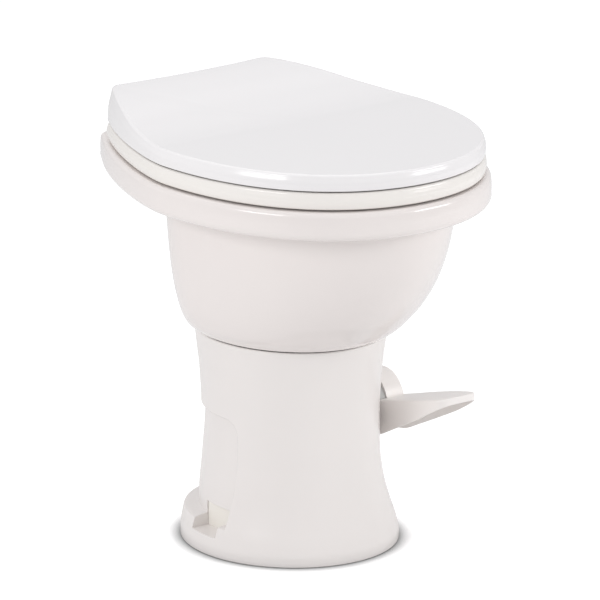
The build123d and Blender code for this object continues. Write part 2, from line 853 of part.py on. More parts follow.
def shaft_ring():
    """Rubber ring that seals the drive shaft outside its bushing."""
    start = bushing_start + bushing_length + ring_gap
    ring = rod_x(bushing_radius - running_clearance, start, start + 2 * ring_wire, 0, shaft_height)
    return ring - rod_x(shaft_radius + running_clearance, start - overrun, start + overrun, 0, shaft_height)


def wedge(half_angle, radius, half_length):
    """A wedge along X that opens upwards from the shaft's axis."""
    side = 2 * radius * sin(radians(half_angle))
    top = 2 * radius * cos(radians(half_angle))
    profile = make_face(Polyline((0, 0), (side, top), (-side, top), (0, 0)))
    return Pos(0, 0, shaft_height) * extrude_x(profile, -half_length, half_length)


def flush_ball():
    """The curved blade that closes the bowl, with an ear and a hub at each end."""
    outer = Pos(0, 0, shaft_height) * Sphere(ball_radius)
    inner = Pos(0, 0, shaft_height) * Sphere(ball_radius - ball_wall)
    slice_of = wedge(ball_half_angle, ball_radius, ball_radius)
    blade = (outer - inner) & slice_of
    ear = box(
        ball_ear_inner, ball_ear_inner + ball_ear_thickness, -ball_ear_half_width, ball_ear_half_width,
        shaft_height, shaft_height + ball_radius,
    )
    ear = ear & (Pos(0, 0, shaft_height) * Sphere(ball_radius - ball_wall / 2))
    hub = rod_x(ball_hub_radius, ball_hub_inner, ball_hub_outer, 0, shaft_height)
    ball = blade
    for side in (1, -1):
        turn = Rot(0, 0, 0 if side > 0 else half_turn)
        ball = ball + turn * ear + turn * hub
    bore = rod_x(shaft_radius + running_clearance, shaft_inner, ball_hub_outer + overrun, 0, shaft_height)
    return ball - bore - mirror(bore, about=Plane.YZ)


def drive_shaft():
    """Steel shaft from the ball's hub to the pedal."""
    shaft = rod_x(shaft_radius, shaft_inner, shaft_end, 0, shaft_height)
    return shaft - rod_x(pedal_bolt_radius + running_clearance, pedal_bolt_end, hub_outer, 0, shaft_height)


def idle_pin():
    """Steel pin on the far side of the ball."""
    return rod_x(shaft_radius, -bushing_start - bushing_length, -shaft_inner, 0, shaft_height)


def spring_housing():
    """Fixed plate on the pedestal's side: spring seat, and the arm that carries the valve."""
    plate = rod_x(housing_radius, housing_inner, housing_outer, 0, shaft_height)
    collar = rod_x(housing_collar_radius, housing_outer, housing_outer + housing_collar, 0, shaft_height)
    arm = box(
        housing_inner + body_clearance, housing_outer, 0, valve_arm_end,
        shaft_height - valve_arm_half_height, shaft_height + valve_arm_half_height,
    )
    housing = plate + collar + arm
    housing = housing - rod_x(shaft_radius + running_clearance, 0, hub_outer, 0, shaft_height)
    for y, z in housing_screw_places():
        housing = housing - rod_x(housing_screw_radius + body_clearance, 0, hub_outer, y, z)
    return housing


def housing_screws():
    """Screws that hold the spring housing to the pedestal."""
    head_end = housing_outer + housing_screw_head_height
    screws = []
    for y, z in housing_screw_places():
        shank = rod_x(housing_screw_radius, housing_inner - housing_screw_depth, housing_outer, y, z)
        screws.append(shank + rod_x(housing_screw_head_radius, housing_outer, head_end, y, z))
    return screws


def return_spring():
    """Torsion spring inside the pedal's hub."""
    start = housing_outer + housing_collar + spring_wire / 2 + body_clearance
    length = hub_outer - hub_wall - spring_wire / 2 - body_clearance - start
    path = Helix(
        length / spring_turns, length, spring_radius, center=(start, 0, shaft_height), direction=(1, 0, 0)
    )
    profile = Plane(origin=path @ 0, z_dir=path % 0) * Circle(spring_wire / 2)
    return sweep(profile, path=path, is_frenet=True)


def cam_ring():
    """Eccentric ring behind the hub that pushes the water valve's plunger."""
    turn = radians(cam_phase)
    y = cam_throw * cos(turn)
    z = shaft_height + cam_throw * sin(turn)
    ring = rod_x(cam_radius, cam_inner, cam_outer, y, z)
    spigot_radius = hub_radius - hub_wall - body_clearance
    spigot = rod_x(spigot_radius, cam_outer - overrun, cam_outer + cam_spigot_length, 0, shaft_height)
    return ring + spigot - rod_x(cam_bore_radius, cam_inner - overrun, hub_outer, 0, shaft_height)


def pedal_side(lower):
    """The pedal's side profile in Y and Z, its top and its heel lowered by the given amount."""
    top = shaft_height + pedal_top_at_hub - lower
    reach = pedal_reach + overrun
    tip = top + reach * tan(radians(pedal_slope))
    return Polyline(
        (0, top),
        (-reach, tip),
        (-reach, tip - pedal_tip_thickness),
        (-pedal_belly_reach, shaft_height - pedal_belly_drop - lower),
        (-pedal_heel_reach, shaft_height - pedal_heel_drop - lower),
        (0, shaft_height - hub_radius),
        (0, top),
    )


def pedal_plan(inset):
    """The pedal's plan: a straight inner edge, a round tip and a flared outer edge."""
    inner = pedal_inner + inset
    outer = pedal_outer - inset
    middle = (inner + outer) / 2
    tip = pedal_reach - inset
    spread = (outer - inner) * pedal_tip_share
    heel = hub_outer - inset
    inner_corner = (inner, -pedal_straight)
    shoulder = (outer, -pedal_shoulder_reach)
    heel_corner = (heel, -hub_radius / 2)
    lines = [
        Line((inner, 0), inner_corner),
        Bezier(inner_corner, (inner, -pedal_round_reach), (middle - spread, -tip), (middle, -tip)),
        Bezier((middle, -tip), (middle + spread, -tip), (outer, -pedal_round_reach), shoulder),
        Bezier(shoulder, (outer, -pedal_flare_start), (heel, -pedal_flare_end), heel_corner),
        Polyline(heel_corner, (heel, 0), (inner, 0)),
    ]
    return make_face([edge for line in lines for edge in line.edges()])


def pedal_form(lower, inset):
    """The pedal's lever as the meeting of its side profile and its plan."""
    profile = make_face(pedal_side(lower).edges())
    side = extrude_x(profile, pedal_inner - overrun, pedal_outer + overrun)
    plan = extrude(pedal_plan(inset), amount=seat_top)
    return side & plan


def pedal():
    """Foot pedal: a hollow lever and the round hub that holds the spring."""
    lever = pedal_form(0, 0) - pedal_form(pedal_wall, pedal_wall)
    lever = lever - rod_x(hub_radius - hub_wall, 0, hub_outer - hub_wall, 0, shaft_height)
    lever = lever - rod_x(cam_radius + cam_throw + hub_gap, 0, hub_start, 0, shaft_height)
    hub = rod_x(hub_radius, hub_start, hub_outer, 0, shaft_height)
    hub = fillet(hub.faces().sort_by(Axis.X)[-1].edges(), pedal_edge_round)
    hub = hub - rod_x(hub_radius - hub_wall, 0, hub_outer - hub_wall, 0, shaft_height)
    boss = rod_x(hub_boss_radius, hub_start, hub_outer - hub_wall, 0, shaft_height)
    whole = hub + boss + lever
    whole = whole - rod_x(shaft_radius + running_clearance, 0, shaft_end, 0, shaft_height)
    whole = whole - rod_x(pedal_bolt_radius + body_clearance, 0, hub_outer, 0, shaft_height)
    return whole - rod_x(pedal_cap_radius, pedal_bolt_seat, hub_outer + overrun, 0, shaft_height)


def pedal_bolt():
    """Bolt that holds the pedal on the end of the shaft."""
    shank = rod_x(pedal_bolt_radius, pedal_bolt_end, pedal_bolt_seat, 0, shaft_height)
    head_end = pedal_bolt_seat + pedal_bolt_head_height
    return shank + rod_x(pedal_bolt_head_radius, pedal_bolt_seat, head_end, 0, shaft_height)


def pedal_cap():
    """Snap-in cap over the pedal's bolt."""
    cap = rod_x(pedal_cap_radius - running_clearance, pedal_bolt_seat, hub_outer, 0, shaft_height)
    inner = pedal_cap_radius - pedal_cap_thickness
    return cap - rod_x(inner, 0, hub_outer - pedal_cap_thickness, 0, shaft_height)


def cam_face():
    """How far behind the shaft's axis the cam's rear stands at rest."""
    return cam_radius + cam_throw * cos(radians(cam_phase))


def valve_body():
    """Water valve block with its inlet thread behind and its outlet barb on top."""
    block = box(
        housing_outer, valve_x + valve_half_size, valve_front + valve_bonnet_thickness, valve_back,
        shaft_height - valve_half_size, shaft_height + valve_half_size,
    )
    block = fillet(block.edges().filter_by(Axis.Y), valve_corner_radius)
    inlet = rod_y(inlet_radius, valve_back, valve_back + inlet_flange + inlet_length, valve_x, shaft_height)
    shoulder_radius = valve_x - housing_outer
    shoulder = rod_y(shoulder_radius, valve_back, valve_back + inlet_flange, valve_x, shaft_height)
    barb_y = valve_back - barb_setback
    barb_top = shaft_height + valve_half_size + barb_length
    barb = rod_z(barb_radius, shaft_height, barb_top, valve_x, barb_y)
    body = block + shoulder + inlet + barb
    seat = valve_front + valve_seat_setback
    body = body - rod_y(valve_front_bore, 0, seat, valve_x, shaft_height)
    body = body - rod_y(valve_seat_bore, 0, valve_back, valve_x, shaft_height)
    bore_end = valve_back - inlet_flange
    body = body - rod_y(valve_bore, seat + valve_seat_thickness, bore_end, valve_x, shaft_height)
    inlet_end = valve_back + inlet_flange + inlet_length + overrun
    body = body - rod_y(inlet_bore, valve_back - overrun, inlet_end, valve_x, shaft_height)
    body = body - rod_z(barb_bore, shaft_height, barb_top + overrun, valve_x, barb_y)
    for x, z in valve_screw_places():
        start = valve_front + valve_bonnet_thickness
        body = body - rod_y(valve_screw_radius + body_clearance, 0, start + valve_screw_depth, x, z)
    return body


def valve_screw_places():
    """The four bonnet screws, in X and Z."""
    spread = valve_screw_spread
    return [(valve_x + i * spread, shaft_height + j * spread) for i in (-1, 1) for j in (-1, 1)]


def valve_bonnet():
    """Front plate of the water valve, which guides the plunger."""
    plate = box(
        housing_outer, valve_x + valve_half_size, valve_front, valve_front + valve_bonnet_thickness,
        shaft_height - valve_half_size, shaft_height + valve_half_size,
    )
    plate = fillet(plate.edges().filter_by(Axis.Y), valve_corner_radius)
    plate = plate - rod_y(plunger_radius + running_clearance, 0, valve_back, valve_x, shaft_height)
    for x, z in valve_screw_places():
        plate = plate - rod_y(valve_screw_radius + body_clearance, 0, valve_back, x, z)
    return plate


def valve_screws():
    """Bonnet screws."""
    end = valve_front + valve_bonnet_thickness + valve_screw_depth
    head = valve_front - valve_screw_head_height
    screws = []
    for x, z in valve_screw_places():
        shank = rod_y(valve_screw_radius, valve_front, end, x, z)
        screws.append(shank + rod_y(valve_screw_head_radius, head, valve_front, x, z))
    return screws


def valve_plunger():
    """Push rod from the cam into the valve."""
    face = cam_face() + plunger_face_gap
    rod = rod_y(plunger_radius, face, disc_start, valve_x, shaft_height)
    return rod + rod_y(plunger_button_radius, face, face + plunger_button_thickness, valve_x, shaft_height)


def plunger_disc():
    """Rubber disc on the inner end of the plunger."""
    disc_end = disc_start + plunger_disc_thickness
    return rod_y(plunger_disc_radius, disc_start, disc_end, valve_x, shaft_height)


def valve_spring():
    """Compression spring behind the disc, which closes the valve."""
    start = disc_start + plunger_disc_thickness + valve_spring_clearance + valve_spring_wire / 2
    length = valve_back - inlet_flange - valve_spring_clearance - valve_spring_wire / 2 - start
    path = Helix(
        length / valve_spring_turns, length, valve_spring_radius, center=(valve_x, start, shaft_height),
        direction=(0, 1, 0),
    )
    profile = Plane(origin=path @ 0, z_dir=path % 0) * Circle(valve_spring_wire / 2)
    return sweep(profile, path=path, is_frenet=True)


def hose_points():
    """The water hose's route from the valve up to the vacuum breaker."""
    barb_y = valve_back - barb_setback
    start = shaft_height + valve_half_size + body_clearance
    first, second, third = [start + share * (breaker_bottom - start) for share in hose_route_shares]
    return [
        (valve_x, barb_y, start),
        (valve_x, barb_y, first),
        ((valve_x + breaker_x) / 2, (barb_y + breaker_y) / 2 + breaker_radius, second),
        (breaker_x, breaker_y, third),
        (breaker_x, breaker_y, breaker_bottom - body_clearance),
    ]


def water_hose():
    """Hose from the water valve to the vacuum breaker, straight runs joined by arcs."""
    points = hose_points()
    path = FilletPolyline(*points, radius=hose_bend_radius)
    outer = barb_radius + hose_clearance + hose_wall
    profile = Plane(origin=path @ 0, z_dir=path % 0) * Circle(outer)
    solid = sweep(profile, path=path)
    bore = Plane(origin=path @ 0, z_dir=path % 0) * Circle(barb_radius + hose_clearance)
    return solid - sweep(bore, path=path)


def hose_clamps():
    """Band clamps on the two ends of the hose."""
    points = hose_points()
    inner = barb_radius + hose_clearance + hose_wall + hose_clearance
    clamps = []
    for (x, y, z), up in ((points[0], 1), (points[-1], -1)):
        low = z + up * clamp_width / 2
        high = z + up * clamp_width * 3 / 2
        low, high = min(low, high), max(low, high)
        band = rod_z(inner + clamp_thickness, low, high, x, y)
        ear = box(x - clamp_ear / 2, x + clamp_ear / 2, y + inner, y + inner + clamp_ear, low, high)
        clamps.append(band + ear - rod_z(inner, low - overrun, high + overrun, x, y))
    return clamps


def vacuum_breaker():
    """Vacuum breaker behind the bowl, with its barb below and its spout into the bowl."""
    top = breaker_bottom + breaker_height
    body = rod_z(breaker_radius, breaker_bottom, top, breaker_x, breaker_y)
    body = body + rod_z(barb_radius, breaker_bottom - barb_length, top, breaker_x, breaker_y)
    body = body + rod_y(breaker_spout_radius, spout_inner, breaker_y, breaker_x, spout_height)
    hollow = rod_z(
        breaker_radius - breaker_wall, breaker_bottom + breaker_wall, top + overrun, breaker_x, breaker_y
    )
    body = body - hollow
    body = body - rod_z(barb_bore, 0, top, breaker_x, breaker_y)
    return body - rod_y(breaker_spout_bore, 0, breaker_y, breaker_x, spout_height)


def breaker_cap():
    """Vented cap of the vacuum breaker."""
    top = breaker_bottom + breaker_height
    low = top - breaker_cap_height / 2
    cap = rod_z(breaker_cap_radius, low, low + breaker_cap_height, breaker_x, breaker_y)
    cap = fillet(cap.faces().sort_by(Axis.Z)[-1].edges(), breaker_wall / 2)
    return cap - rod_z(breaker_radius + running_clearance, 0, top, breaker_x, breaker_y)


def spout_grommet():
    """Rubber grommet where the spout passes through the bowl's rear wall."""
    sleeve = rod_y(grommet_radius - body_clearance, grommet_inner, grommet_outer, breaker_x, spout_height)
    rear = grommet_outer - grommet_flange_thickness
    flange = rod_y(grommet_flange_radius, rear, grommet_outer, breaker_x, spout_height)
    bore = rod_y(breaker_spout_radius + running_clearance, 0, breaker_y, breaker_x, spout_height)
    return sleeve + flange - bore


def seat_ring():
    """Moulded seat ring, hollow below, with its two hinge arms."""
    outline = plan_outline(0, seat_bottom, seat_back, seat_corner_radius)
    hole = egg(seat_opening_half_width, seat_opening_front, seat_opening_back, seat_bottom)
    ring = extrude(outline, amount=seat_thickness) - extrude(hole, amount=seat_thickness)
    ring = fillet(ring.faces().sort_by(Axis.Z)[-1].outer_wire().edges(), seat_round)
    ring = fillet(ring.faces().sort_by(Axis.Z)[0].outer_wire().edges(), seat_round)
    ring = fillet(ring.faces().sort_by(Axis.Z)[-1].inner_wires()[0].edges(), seat_inner_round)
    ring = ring - seat_recess()
    for side in (1, -1):
        ring = ring + seat_arm(side)
    bore_end = seat_arm_inner + seat_arm_width + overrun
    bore = rod_x(hinge_pin_radius + running_clearance, -bore_end, bore_end, hinge_y, hinge_height)
    ring = ring - bore
    for x, y in bumper_places():
        ring = ring - rod_z(bumper_radius + body_clearance, 0, seat_bottom + bumper_recess, x, y)
    return ring


def seat_recess():
    """The hollow under the seat ring, with pads left for the bumpers."""
    inset = seat_round + seat_recess_wall
    outline = plan_outline(-inset, seat_bottom - overrun, seat_back - inset, seat_corner_radius)
    wall = seat_recess_wall
    hole = egg(
        seat_opening_half_width + wall, seat_opening_front + wall, seat_opening_back + wall,
        seat_bottom - overrun,
    )
    depth = seat_recess_depth + overrun
    recess = extrude(outline, amount=depth) - extrude(hole, amount=depth)
    for x, y in bumper_places():
        recess = recess - rod_z(lid_post_radius, 0, seat_top, x, y)
    return recess


def seat_arm(side):
    """One hinge arm of the seat, on the right for side 1 and on the left for side -1."""
    low, high = sorted((side * seat_arm_inner, side * (seat_arm_inner + seat_arm_width)))
    bottom = seat_bottom + seat_arm_inset
    top = seat_top - seat_arm_inset
    foot = box(low, high, seat_back - seat_arm_overlap, seat_arm_back, bottom, top)
    stem = box(low, high, 2 * hinge_y - seat_arm_back, seat_arm_back, bottom, hinge_height)
    return foot + stem + rod_x(knuckle_radius, low, high, hinge_y, hinge_height)


def bumper_places():
    """Four bumper places on the ring between the seat's hole and its edge."""
    side = (seat_opening_half_width + seat_half_width) / 2
    fore = (seat_opening_front + seat_front) / 2
    return [(i * side * across, along * fore) for i in (-1, 1) for across, along in bumper_place_shares]


def seat_bumpers():
    """Rubber pads under the seat ring."""
    low = rim_height + bumper_rest_gap
    return [rod_z(bumper_radius, low, seat_bottom + bumper_recess, x, y) for x, y in bumper_places()]


def lid_profile(top_drop):
    """The lid's long section as a closed face in Y and Z: thin in front, thick behind."""
    front = -(seat_front + overrun)
    back = seat_back + overrun
    low = lid_front_top - top_drop
    rise = lid_back_top - lid_front_top
    points = [(front, low)]
    points += [(y * seat_back, low + share * rise) for y, share in lid_top_shares]
    points.append((back, low + rise * lid_end_rise_share))
    top = Spline(points, tangents=[(1, 0), (1, lid_end_slope_share)])
    base = lid_bottom - overrun
    sides = Polyline(points[-1], (back, base), (front, base), points[0])
    return make_face([top.edge()] + sides.edges())


def lid_form(wall):
    """The lid's outer form, or the hollow under it when a wall is given."""
    slab = extrude_x(lid_profile(wall), -seat_half_width - overrun, seat_half_width + overrun)
    low = lid_bottom - (overrun if wall > 0 else 0)
    high = lid_back_top + overrun
    share = (high - low) / (lid_back_top - lid_bottom)
    corner = seat_corner_radius - wall
    bottom = plan_outline(-wall, low, seat_back - wall, corner)
    side = -wall - lid_side_inset * share
    back = seat_back - wall - lid_back_inset * share
    top = plan_outline(side, high, back, corner, -wall - lid_front_inset * share, side)
    return loft([bottom, top], ruled=True) & slab


def lid():
    """Moulded lid: a shell that thickens towards the hinge, with two hinge arms."""
    shell = lid_form(0)
    lowest = lid_front_top - lid_top_round
    top_edges = [edge for edge in shell.edges() if edge.bounding_box().min.Z > lowest]
    top_edges = [edge for edge in top_edges if edge.bounding_box().size.X > 0]
    shell = fillet(top_edges, lid_top_round)
    shell = shell - lid_form(lid_wall)
    for side in (1, -1):
        low, high = sorted((side * lid_arm_inner, side * lid_arm_outer))
        arm = box(
            low, high, seat_back - lid_arm_overlap, hinge_y,
            hinge_height - knuckle_radius, hinge_height + knuckle_radius,
        )
        shell = shell + arm + rod_x(knuckle_radius, low, high, hinge_y, hinge_height)
    recess_top = lid_bottom + bumper_recess
    for x, y in bumper_places():
        post = rod_z(lid_post_radius, lid_bottom, lid_back_top, x, y) & lid_form(0)
        shell = shell + post - rod_z(bumper_radius + body_clearance, 0, recess_top, x, y)
    bore_end = lid_arm_outer + overrun
    return shell - rod_x(hinge_pin_radius + running_clearance, -bore_end, bore_end, hinge_y, hinge_height)


def lid_bumpers():
    """Rubber pads under the lid."""
    low = seat_top + bumper_rest_gap
    return [rod_z(bumper_radius, low, lid_bottom + bumper_recess, x, y) for x, y in bumper_places()]


def hinge_posts():
    """The two posts on the deck that carry the hinge pins."""
    posts = []
    for side in (1, -1):
        x = side * post_spacing / 2
        foot = rod_z(post_foot_radius, rim_height, rim_height + post_foot_thickness, x, hinge_y)
        stem = box(
            x - post_width / 2, x + post_width / 2, hinge_y - post_depth / 2, hinge_y + post_depth / 2,
            rim_height, hinge_height,
        )
        barrel = rod_x(knuckle_radius, x - post_width / 2, x + post_width / 2, hinge_y, hinge_height)
        post = foot + stem + barrel
        bore_radius = hinge_pin_radius + running_clearance
        post = post - rod_x(bore_radius, x - post_width, x + post_width, hinge_y, hinge_height)
        stud_radius = hinge_bolt_radius + running_clearance
        posts.append(post - rod_z(stud_radius, 0, rim_height + hinge_bolt_in_post, x, hinge_y))
    return posts


def pin_ends():
    """Inner and outer ends of the right-hand hinge pin."""
    return lid_arm_inner - body_clearance, seat_arm_inner + seat_arm_width + body_clearance


def hinge_pins():
    """Headed pins through the lid arm, the post and the seat arm on each side."""
    inner, outer = pin_ends()
    pins = []
    for side in (1, -1):
        low, high = sorted((side * inner, side * (outer + pin_cap_depth)))
        head_low, head_high = sorted((side * inner, side * (inner - pin_head_thickness)))
        shank = rod_x(hinge_pin_radius, low, high, hinge_y, hinge_height)
        pins.append(shank + rod_x(pin_head_radius, head_low, head_high, hinge_y, hinge_height))
    return pins


def pin_caps():
    """Push-on caps that keep the hinge pins in place."""
    outer = pin_ends()[1]
    caps = []
    for side in (1, -1):
        low, high = sorted((side * outer, side * (outer + pin_cap_depth + pin_cap_wall)))
        bore_low, bore_high = sorted((side * outer, side * (outer + pin_cap_depth)))
        cap = rod_x(pin_head_radius, low, high, hinge_y, hinge_height)
        bore_radius = hinge_pin_radius + running_clearance
        caps.append(cap - rod_x(bore_radius, bore_low, bore_high, hinge_y, hinge_height))
    return caps


def hinge_bolts():
    """Studs from the posts down through the deck."""
    low = deck_bottom - hinge_bolt_below
    high = rim_height + hinge_bolt_in_post
    return [rod_z(hinge_bolt_radius, low, high, side * post_spacing / 2, hinge_y) for side in (1, -1)]


def hinge_washers():
    """Washers under the deck."""
    washers = []
    for side in (1, -1):
        x = side * post_spacing / 2
        disc = rod_z(washer_radius, deck_bottom - washer_thickness, deck_bottom, x, hinge_y)
        washers.append(disc - rod_z(hinge_bolt_radius + body_clearance, 0, rim_height, x, hinge_y))
    return washers


def hinge_nuts():
    """Nuts under the washers."""
    nuts = []
    top = deck_bottom - washer_thickness
    for side in (1, -1):
        x = side * post_spacing / 2
        nut = hexagon_z(nut_width, top - nut_height, top, x, hinge_y)
        nuts.append(nut - rod_z(hinge_bolt_radius + running_clearance, 0, rim_height, x, hinge_y))
    return nuts


for build in (
    pedestal_base, pocket_covers, flush_chamber, chamber_screws, floor_seal, ball_seal, clamp_band,
    clamp_screw, clamp_nut, bowl_gasket, bowl, shaft_bushings, shaft_ring, flush_ball, drive_shaft,
    idle_pin, spring_housing, housing_screws, return_spring, cam_ring, pedal, pedal_bolt, pedal_cap,
    valve_body, valve_bonnet, valve_screws, valve_plunger, plunger_disc, valve_spring, water_hose,
    hose_clamps, vacuum_breaker, breaker_cap, spout_grommet, seat_ring, seat_bumpers, lid, lid_bumpers,
    hinge_posts, hinge_pins, pin_caps, hinge_bolts, hinge_washers, hinge_nuts,
):
    save(build.__name__, build())
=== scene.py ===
import bmesh
import bpy
import math
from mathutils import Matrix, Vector


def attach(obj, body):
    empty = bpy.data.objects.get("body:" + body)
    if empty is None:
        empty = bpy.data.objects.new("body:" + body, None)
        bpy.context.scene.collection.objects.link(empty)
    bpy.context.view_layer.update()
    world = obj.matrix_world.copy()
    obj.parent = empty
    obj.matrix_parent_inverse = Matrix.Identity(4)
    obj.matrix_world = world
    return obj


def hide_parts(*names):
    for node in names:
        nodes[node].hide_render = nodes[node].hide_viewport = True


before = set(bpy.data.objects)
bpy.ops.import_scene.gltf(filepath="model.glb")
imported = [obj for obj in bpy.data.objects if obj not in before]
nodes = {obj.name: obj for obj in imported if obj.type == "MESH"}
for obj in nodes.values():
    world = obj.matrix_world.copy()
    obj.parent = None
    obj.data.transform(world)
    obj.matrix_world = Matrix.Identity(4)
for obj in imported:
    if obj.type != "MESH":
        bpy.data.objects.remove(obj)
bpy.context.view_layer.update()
scene = bpy.context.scene

# Studio: a long lens looks at the toilet from its front left, as in a catalogue picture. The
# floor is pale, the room is evenly white, and three soft boxes draw the streaks on the gloss.
camera_turn = math.radians(-37.92)
camera_rise = math.radians(16.32)
camera_distance = 7.32
camera_target = Vector((0.0, -0.01751, 0.27554))
camera_back = Vector((
    math.sin(camera_turn) * math.cos(camera_rise),
    -math.cos(camera_turn) * math.cos(camera_rise),
    math.sin(camera_rise),
))
camera_data = bpy.data.cameras.new("camera")
camera_data.sensor_width = 36.0
camera_data.lens = 398.6
camera_data.clip_end = 60.0
camera = bpy.data.objects.new("camera", camera_data)
camera.location = camera_target + camera_back * camera_distance
camera.rotation_euler = camera_back.to_track_quat("Z", "Y").to_euler()
scene.collection.objects.link(camera)
scene.camera = camera
scene.view_settings.view_transform = "Standard"


def soft_box(name, direction, distance, width, height, power):
    """A rectangular lamp that shines on the middle of the toilet."""
    data = bpy.data.lights.new(name, "AREA")
    data.shape = "RECTANGLE"
    data.size = width
    data.size_y = height
    data.energy = power
    lamp = bpy.data.objects.new(name, data)
    aim = Vector(direction).normalized()
    lamp.location = Vector((0, 0, 0.25)) + aim * distance
    lamp.rotation_euler = aim.to_track_quat("Z", "Y").to_euler()
    scene.collection.objects.link(lamp)


soft_box("left soft box", (-0.85, -0.10, 0.42), 2.4, 1.1, 0.8, 15.0)
soft_box("right soft box", (0.55, -0.74, 0.33), 2.4, 1.1, 0.8, 16.5)
soft_box("top soft box", (0.05, 0.25, 1.0), 2.2, 2.2, 2.2, 14.0)

world = bpy.data.worlds.new("white room")
scene.world = world
world.use_nodes = True
room = world.node_tree
room.nodes["Background"].inputs["Color"].default_value = (0.985, 0.985, 1.0, 1.0)
room.nodes["Background"].inputs["Strength"].default_value = 0.67
seen_white = room.nodes.new("ShaderNodeBackground")
seen_white.inputs["Color"].default_value = (1.0, 1.0, 1.0, 1.0)
seen_white.inputs["Strength"].default_value = 1.0
room_path = room.nodes.new("ShaderNodeLightPath")
room_mix = room.nodes.new("ShaderNodeMixShader")
room.links.new(room_path.outputs["Is Camera Ray"], room_mix.inputs["Fac"])
room.links.new(room.nodes["Background"].outputs["Background"], room_mix.inputs[1])
room.links.new(seen_white.outputs["Background"], room_mix.inputs[2])
room.links.new(room_mix.outputs["Shader"], room.nodes["World Output"].inputs["Surface"])

floor_mesh = bpy.data.meshes.new("studio_floor")
floor_reach = 14.0
floor_mesh.from_pydata(
    [(-floor_reach, -floor_reach, 0), (floor_reach, -floor_reach, 0),
     (floor_reach, floor_reach, 0), (-floor_reach, floor_reach, 0)],
    [], [(0, 1, 2, 3)],
)
floor = bpy.data.objects.new("studio_floor", floor_mesh)
scene.collection.objects.link(floor)
floor_white = 0.86
floor_lift = 0.38
shadow_reach = 0.018
painted_shadow_darkest = 0.20
# Painted contact shadow: an ambient occlusion reading darkens the floor's colour and its lift within the
# shadow reach of the foot. Far from it the camera sees white.
floor_paint = bpy.data.materials.new("studio floor")
floor_paint.use_nodes = True
tree = floor_paint.node_tree
tree.nodes["Principled BSDF"].inputs["Roughness"].default_value = 0.9
tree.nodes["Principled BSDF"].inputs["Specular IOR Level"].default_value = 0.0
shadow_occlusion = tree.nodes.new("ShaderNodeAmbientOcclusion")
shadow_occlusion.inputs["Distance"].default_value = shadow_reach
shadow_occlusion.samples = 16
painted_contact_shadow = tree.nodes.new("ShaderNodeMapRange")
painted_contact_shadow.inputs["From Min"].default_value = 0.45
painted_contact_shadow.inputs["From Max"].default_value = 0.98
painted_contact_shadow.inputs["To Min"].default_value = painted_shadow_darkest
tree.links.new(shadow_occlusion.outputs["AO"], painted_contact_shadow.inputs["Value"])
shaded = tree.nodes.new("ShaderNodeVectorMath")
shaded.operation = "SCALE"
shaded.inputs[0].default_value = (floor_white, floor_white, floor_white)
tree.links.new(painted_contact_shadow.outputs["Result"], shaded.inputs["Scale"])
tree.links.new(shaded.outputs["Vector"], tree.nodes["Principled BSDF"].inputs["Base Color"])
lift = tree.nodes.new("ShaderNodeEmission")
lift.inputs["Color"].default_value = (1.0, 1.0, 1.0, 1.0)
path = tree.nodes.new("ShaderNodeLightPath")
lift_strength = tree.nodes.new("ShaderNodeMath")
lift_strength.operation = "MULTIPLY"
lift_strength.inputs[1].default_value = floor_lift
shaded_lift = tree.nodes.new("ShaderNodeMath")
shaded_lift.operation = "MULTIPLY"
tree.links.new(path.outputs["Is Camera Ray"], lift_strength.inputs[0])
tree.links.new(lift_strength.outputs["Value"], shaded_lift.inputs[0])
tree.links.new(painted_contact_shadow.outputs["Result"], shaded_lift.inputs[1])
tree.links.new(shaded_lift.outputs["Value"], lift.inputs["Strength"])
add = tree.nodes.new("ShaderNodeAddShader")
tree.links.new(tree.nodes["Principled BSDF"].outputs["BSDF"], add.inputs[0])
tree.links.new(lift.outputs["Emission"], add.inputs[1])
tree.links.new(add.outputs["Shader"], tree.nodes["Material Output"].inputs["Surface"])
floor_mesh.materials.append(floor_paint)

# Pedestal: one hollow moulding of white satin plastic on an oval foot. Its trunk is set back
# behind a side panel. A pocket on each side of the foot takes a floor bolt and is closed by a
# snap-in cover, which keeps its CAD mesh.
base_height = 0.243
foot_half_width = 0.1188
foot_front = 0.1244
foot_back = 0.129
base_wall = 0.0045
foot_plate = 0.010
foot_edge = 0.0010
base_lip_round = 0.0014
# Height, half width, front and back as shares of the foot
base_rows = [
    (0.00, 1.000, 1.000, 1.000),
    (0.04, 1.000, 1.000, 1.000),
    (0.08, 0.980, 0.985, 1.000),
    (0.12, 0.954, 0.966, 0.998),
    (0.16, 0.923, 0.946, 0.945),
    (0.21, 0.887, 0.923, 0.885),
    (0.26, 0.854, 0.905, 0.870),
    (0.31, 0.828, 0.892, 0.864),
    (0.44, 0.792, 0.870, 0.848),
    (0.62, 0.787, 0.864, 0.836),
    (0.80, 0.809, 0.880, 0.845),
    (0.90, 0.831, 0.900, 0.865),
    (1.00, 0.857, 0.930, 0.879),
]
# Height, half width and back of the set-back trunk, as the same shares
trunk_rows = [
    (0.00, 0.800, 0.875),
    (0.18, 0.800, 0.875),
    (0.25, 0.791, 0.872),
    (0.31, 0.778, 0.861),
    (0.39, 0.762, 0.850),
    (0.48, 0.750, 0.832),
    (0.56, 0.7455, 0.813),
    (0.70, 0.7455, 0.779),
    (1.00, 0.7455, 0.779),
]
panel_front = -0.022
panel_bottom = 0.034
panel_top = 0.152
panel_corner = 0.018
panel_edge_softness = 0.0030
hub_height = 0.136
hub_recess_radius = 0.033
shaft_hole_radius = 0.0085
shaft_hole_start = 0.05
trunk_side = 0.08887
cut_end = 0.13
cut_overrun = 0.005
shell_blend = 0.02
outlet_hole_radius = 0.0423
outlet_seat_radius = 0.052
outlet_seat_height = 0.008
inside_shares = (0.95, 0.88, 0.8, 0.7, 0.6, 0.5, 0.42, 0.34, 0.28, 0.22, 0.15, 0.09)


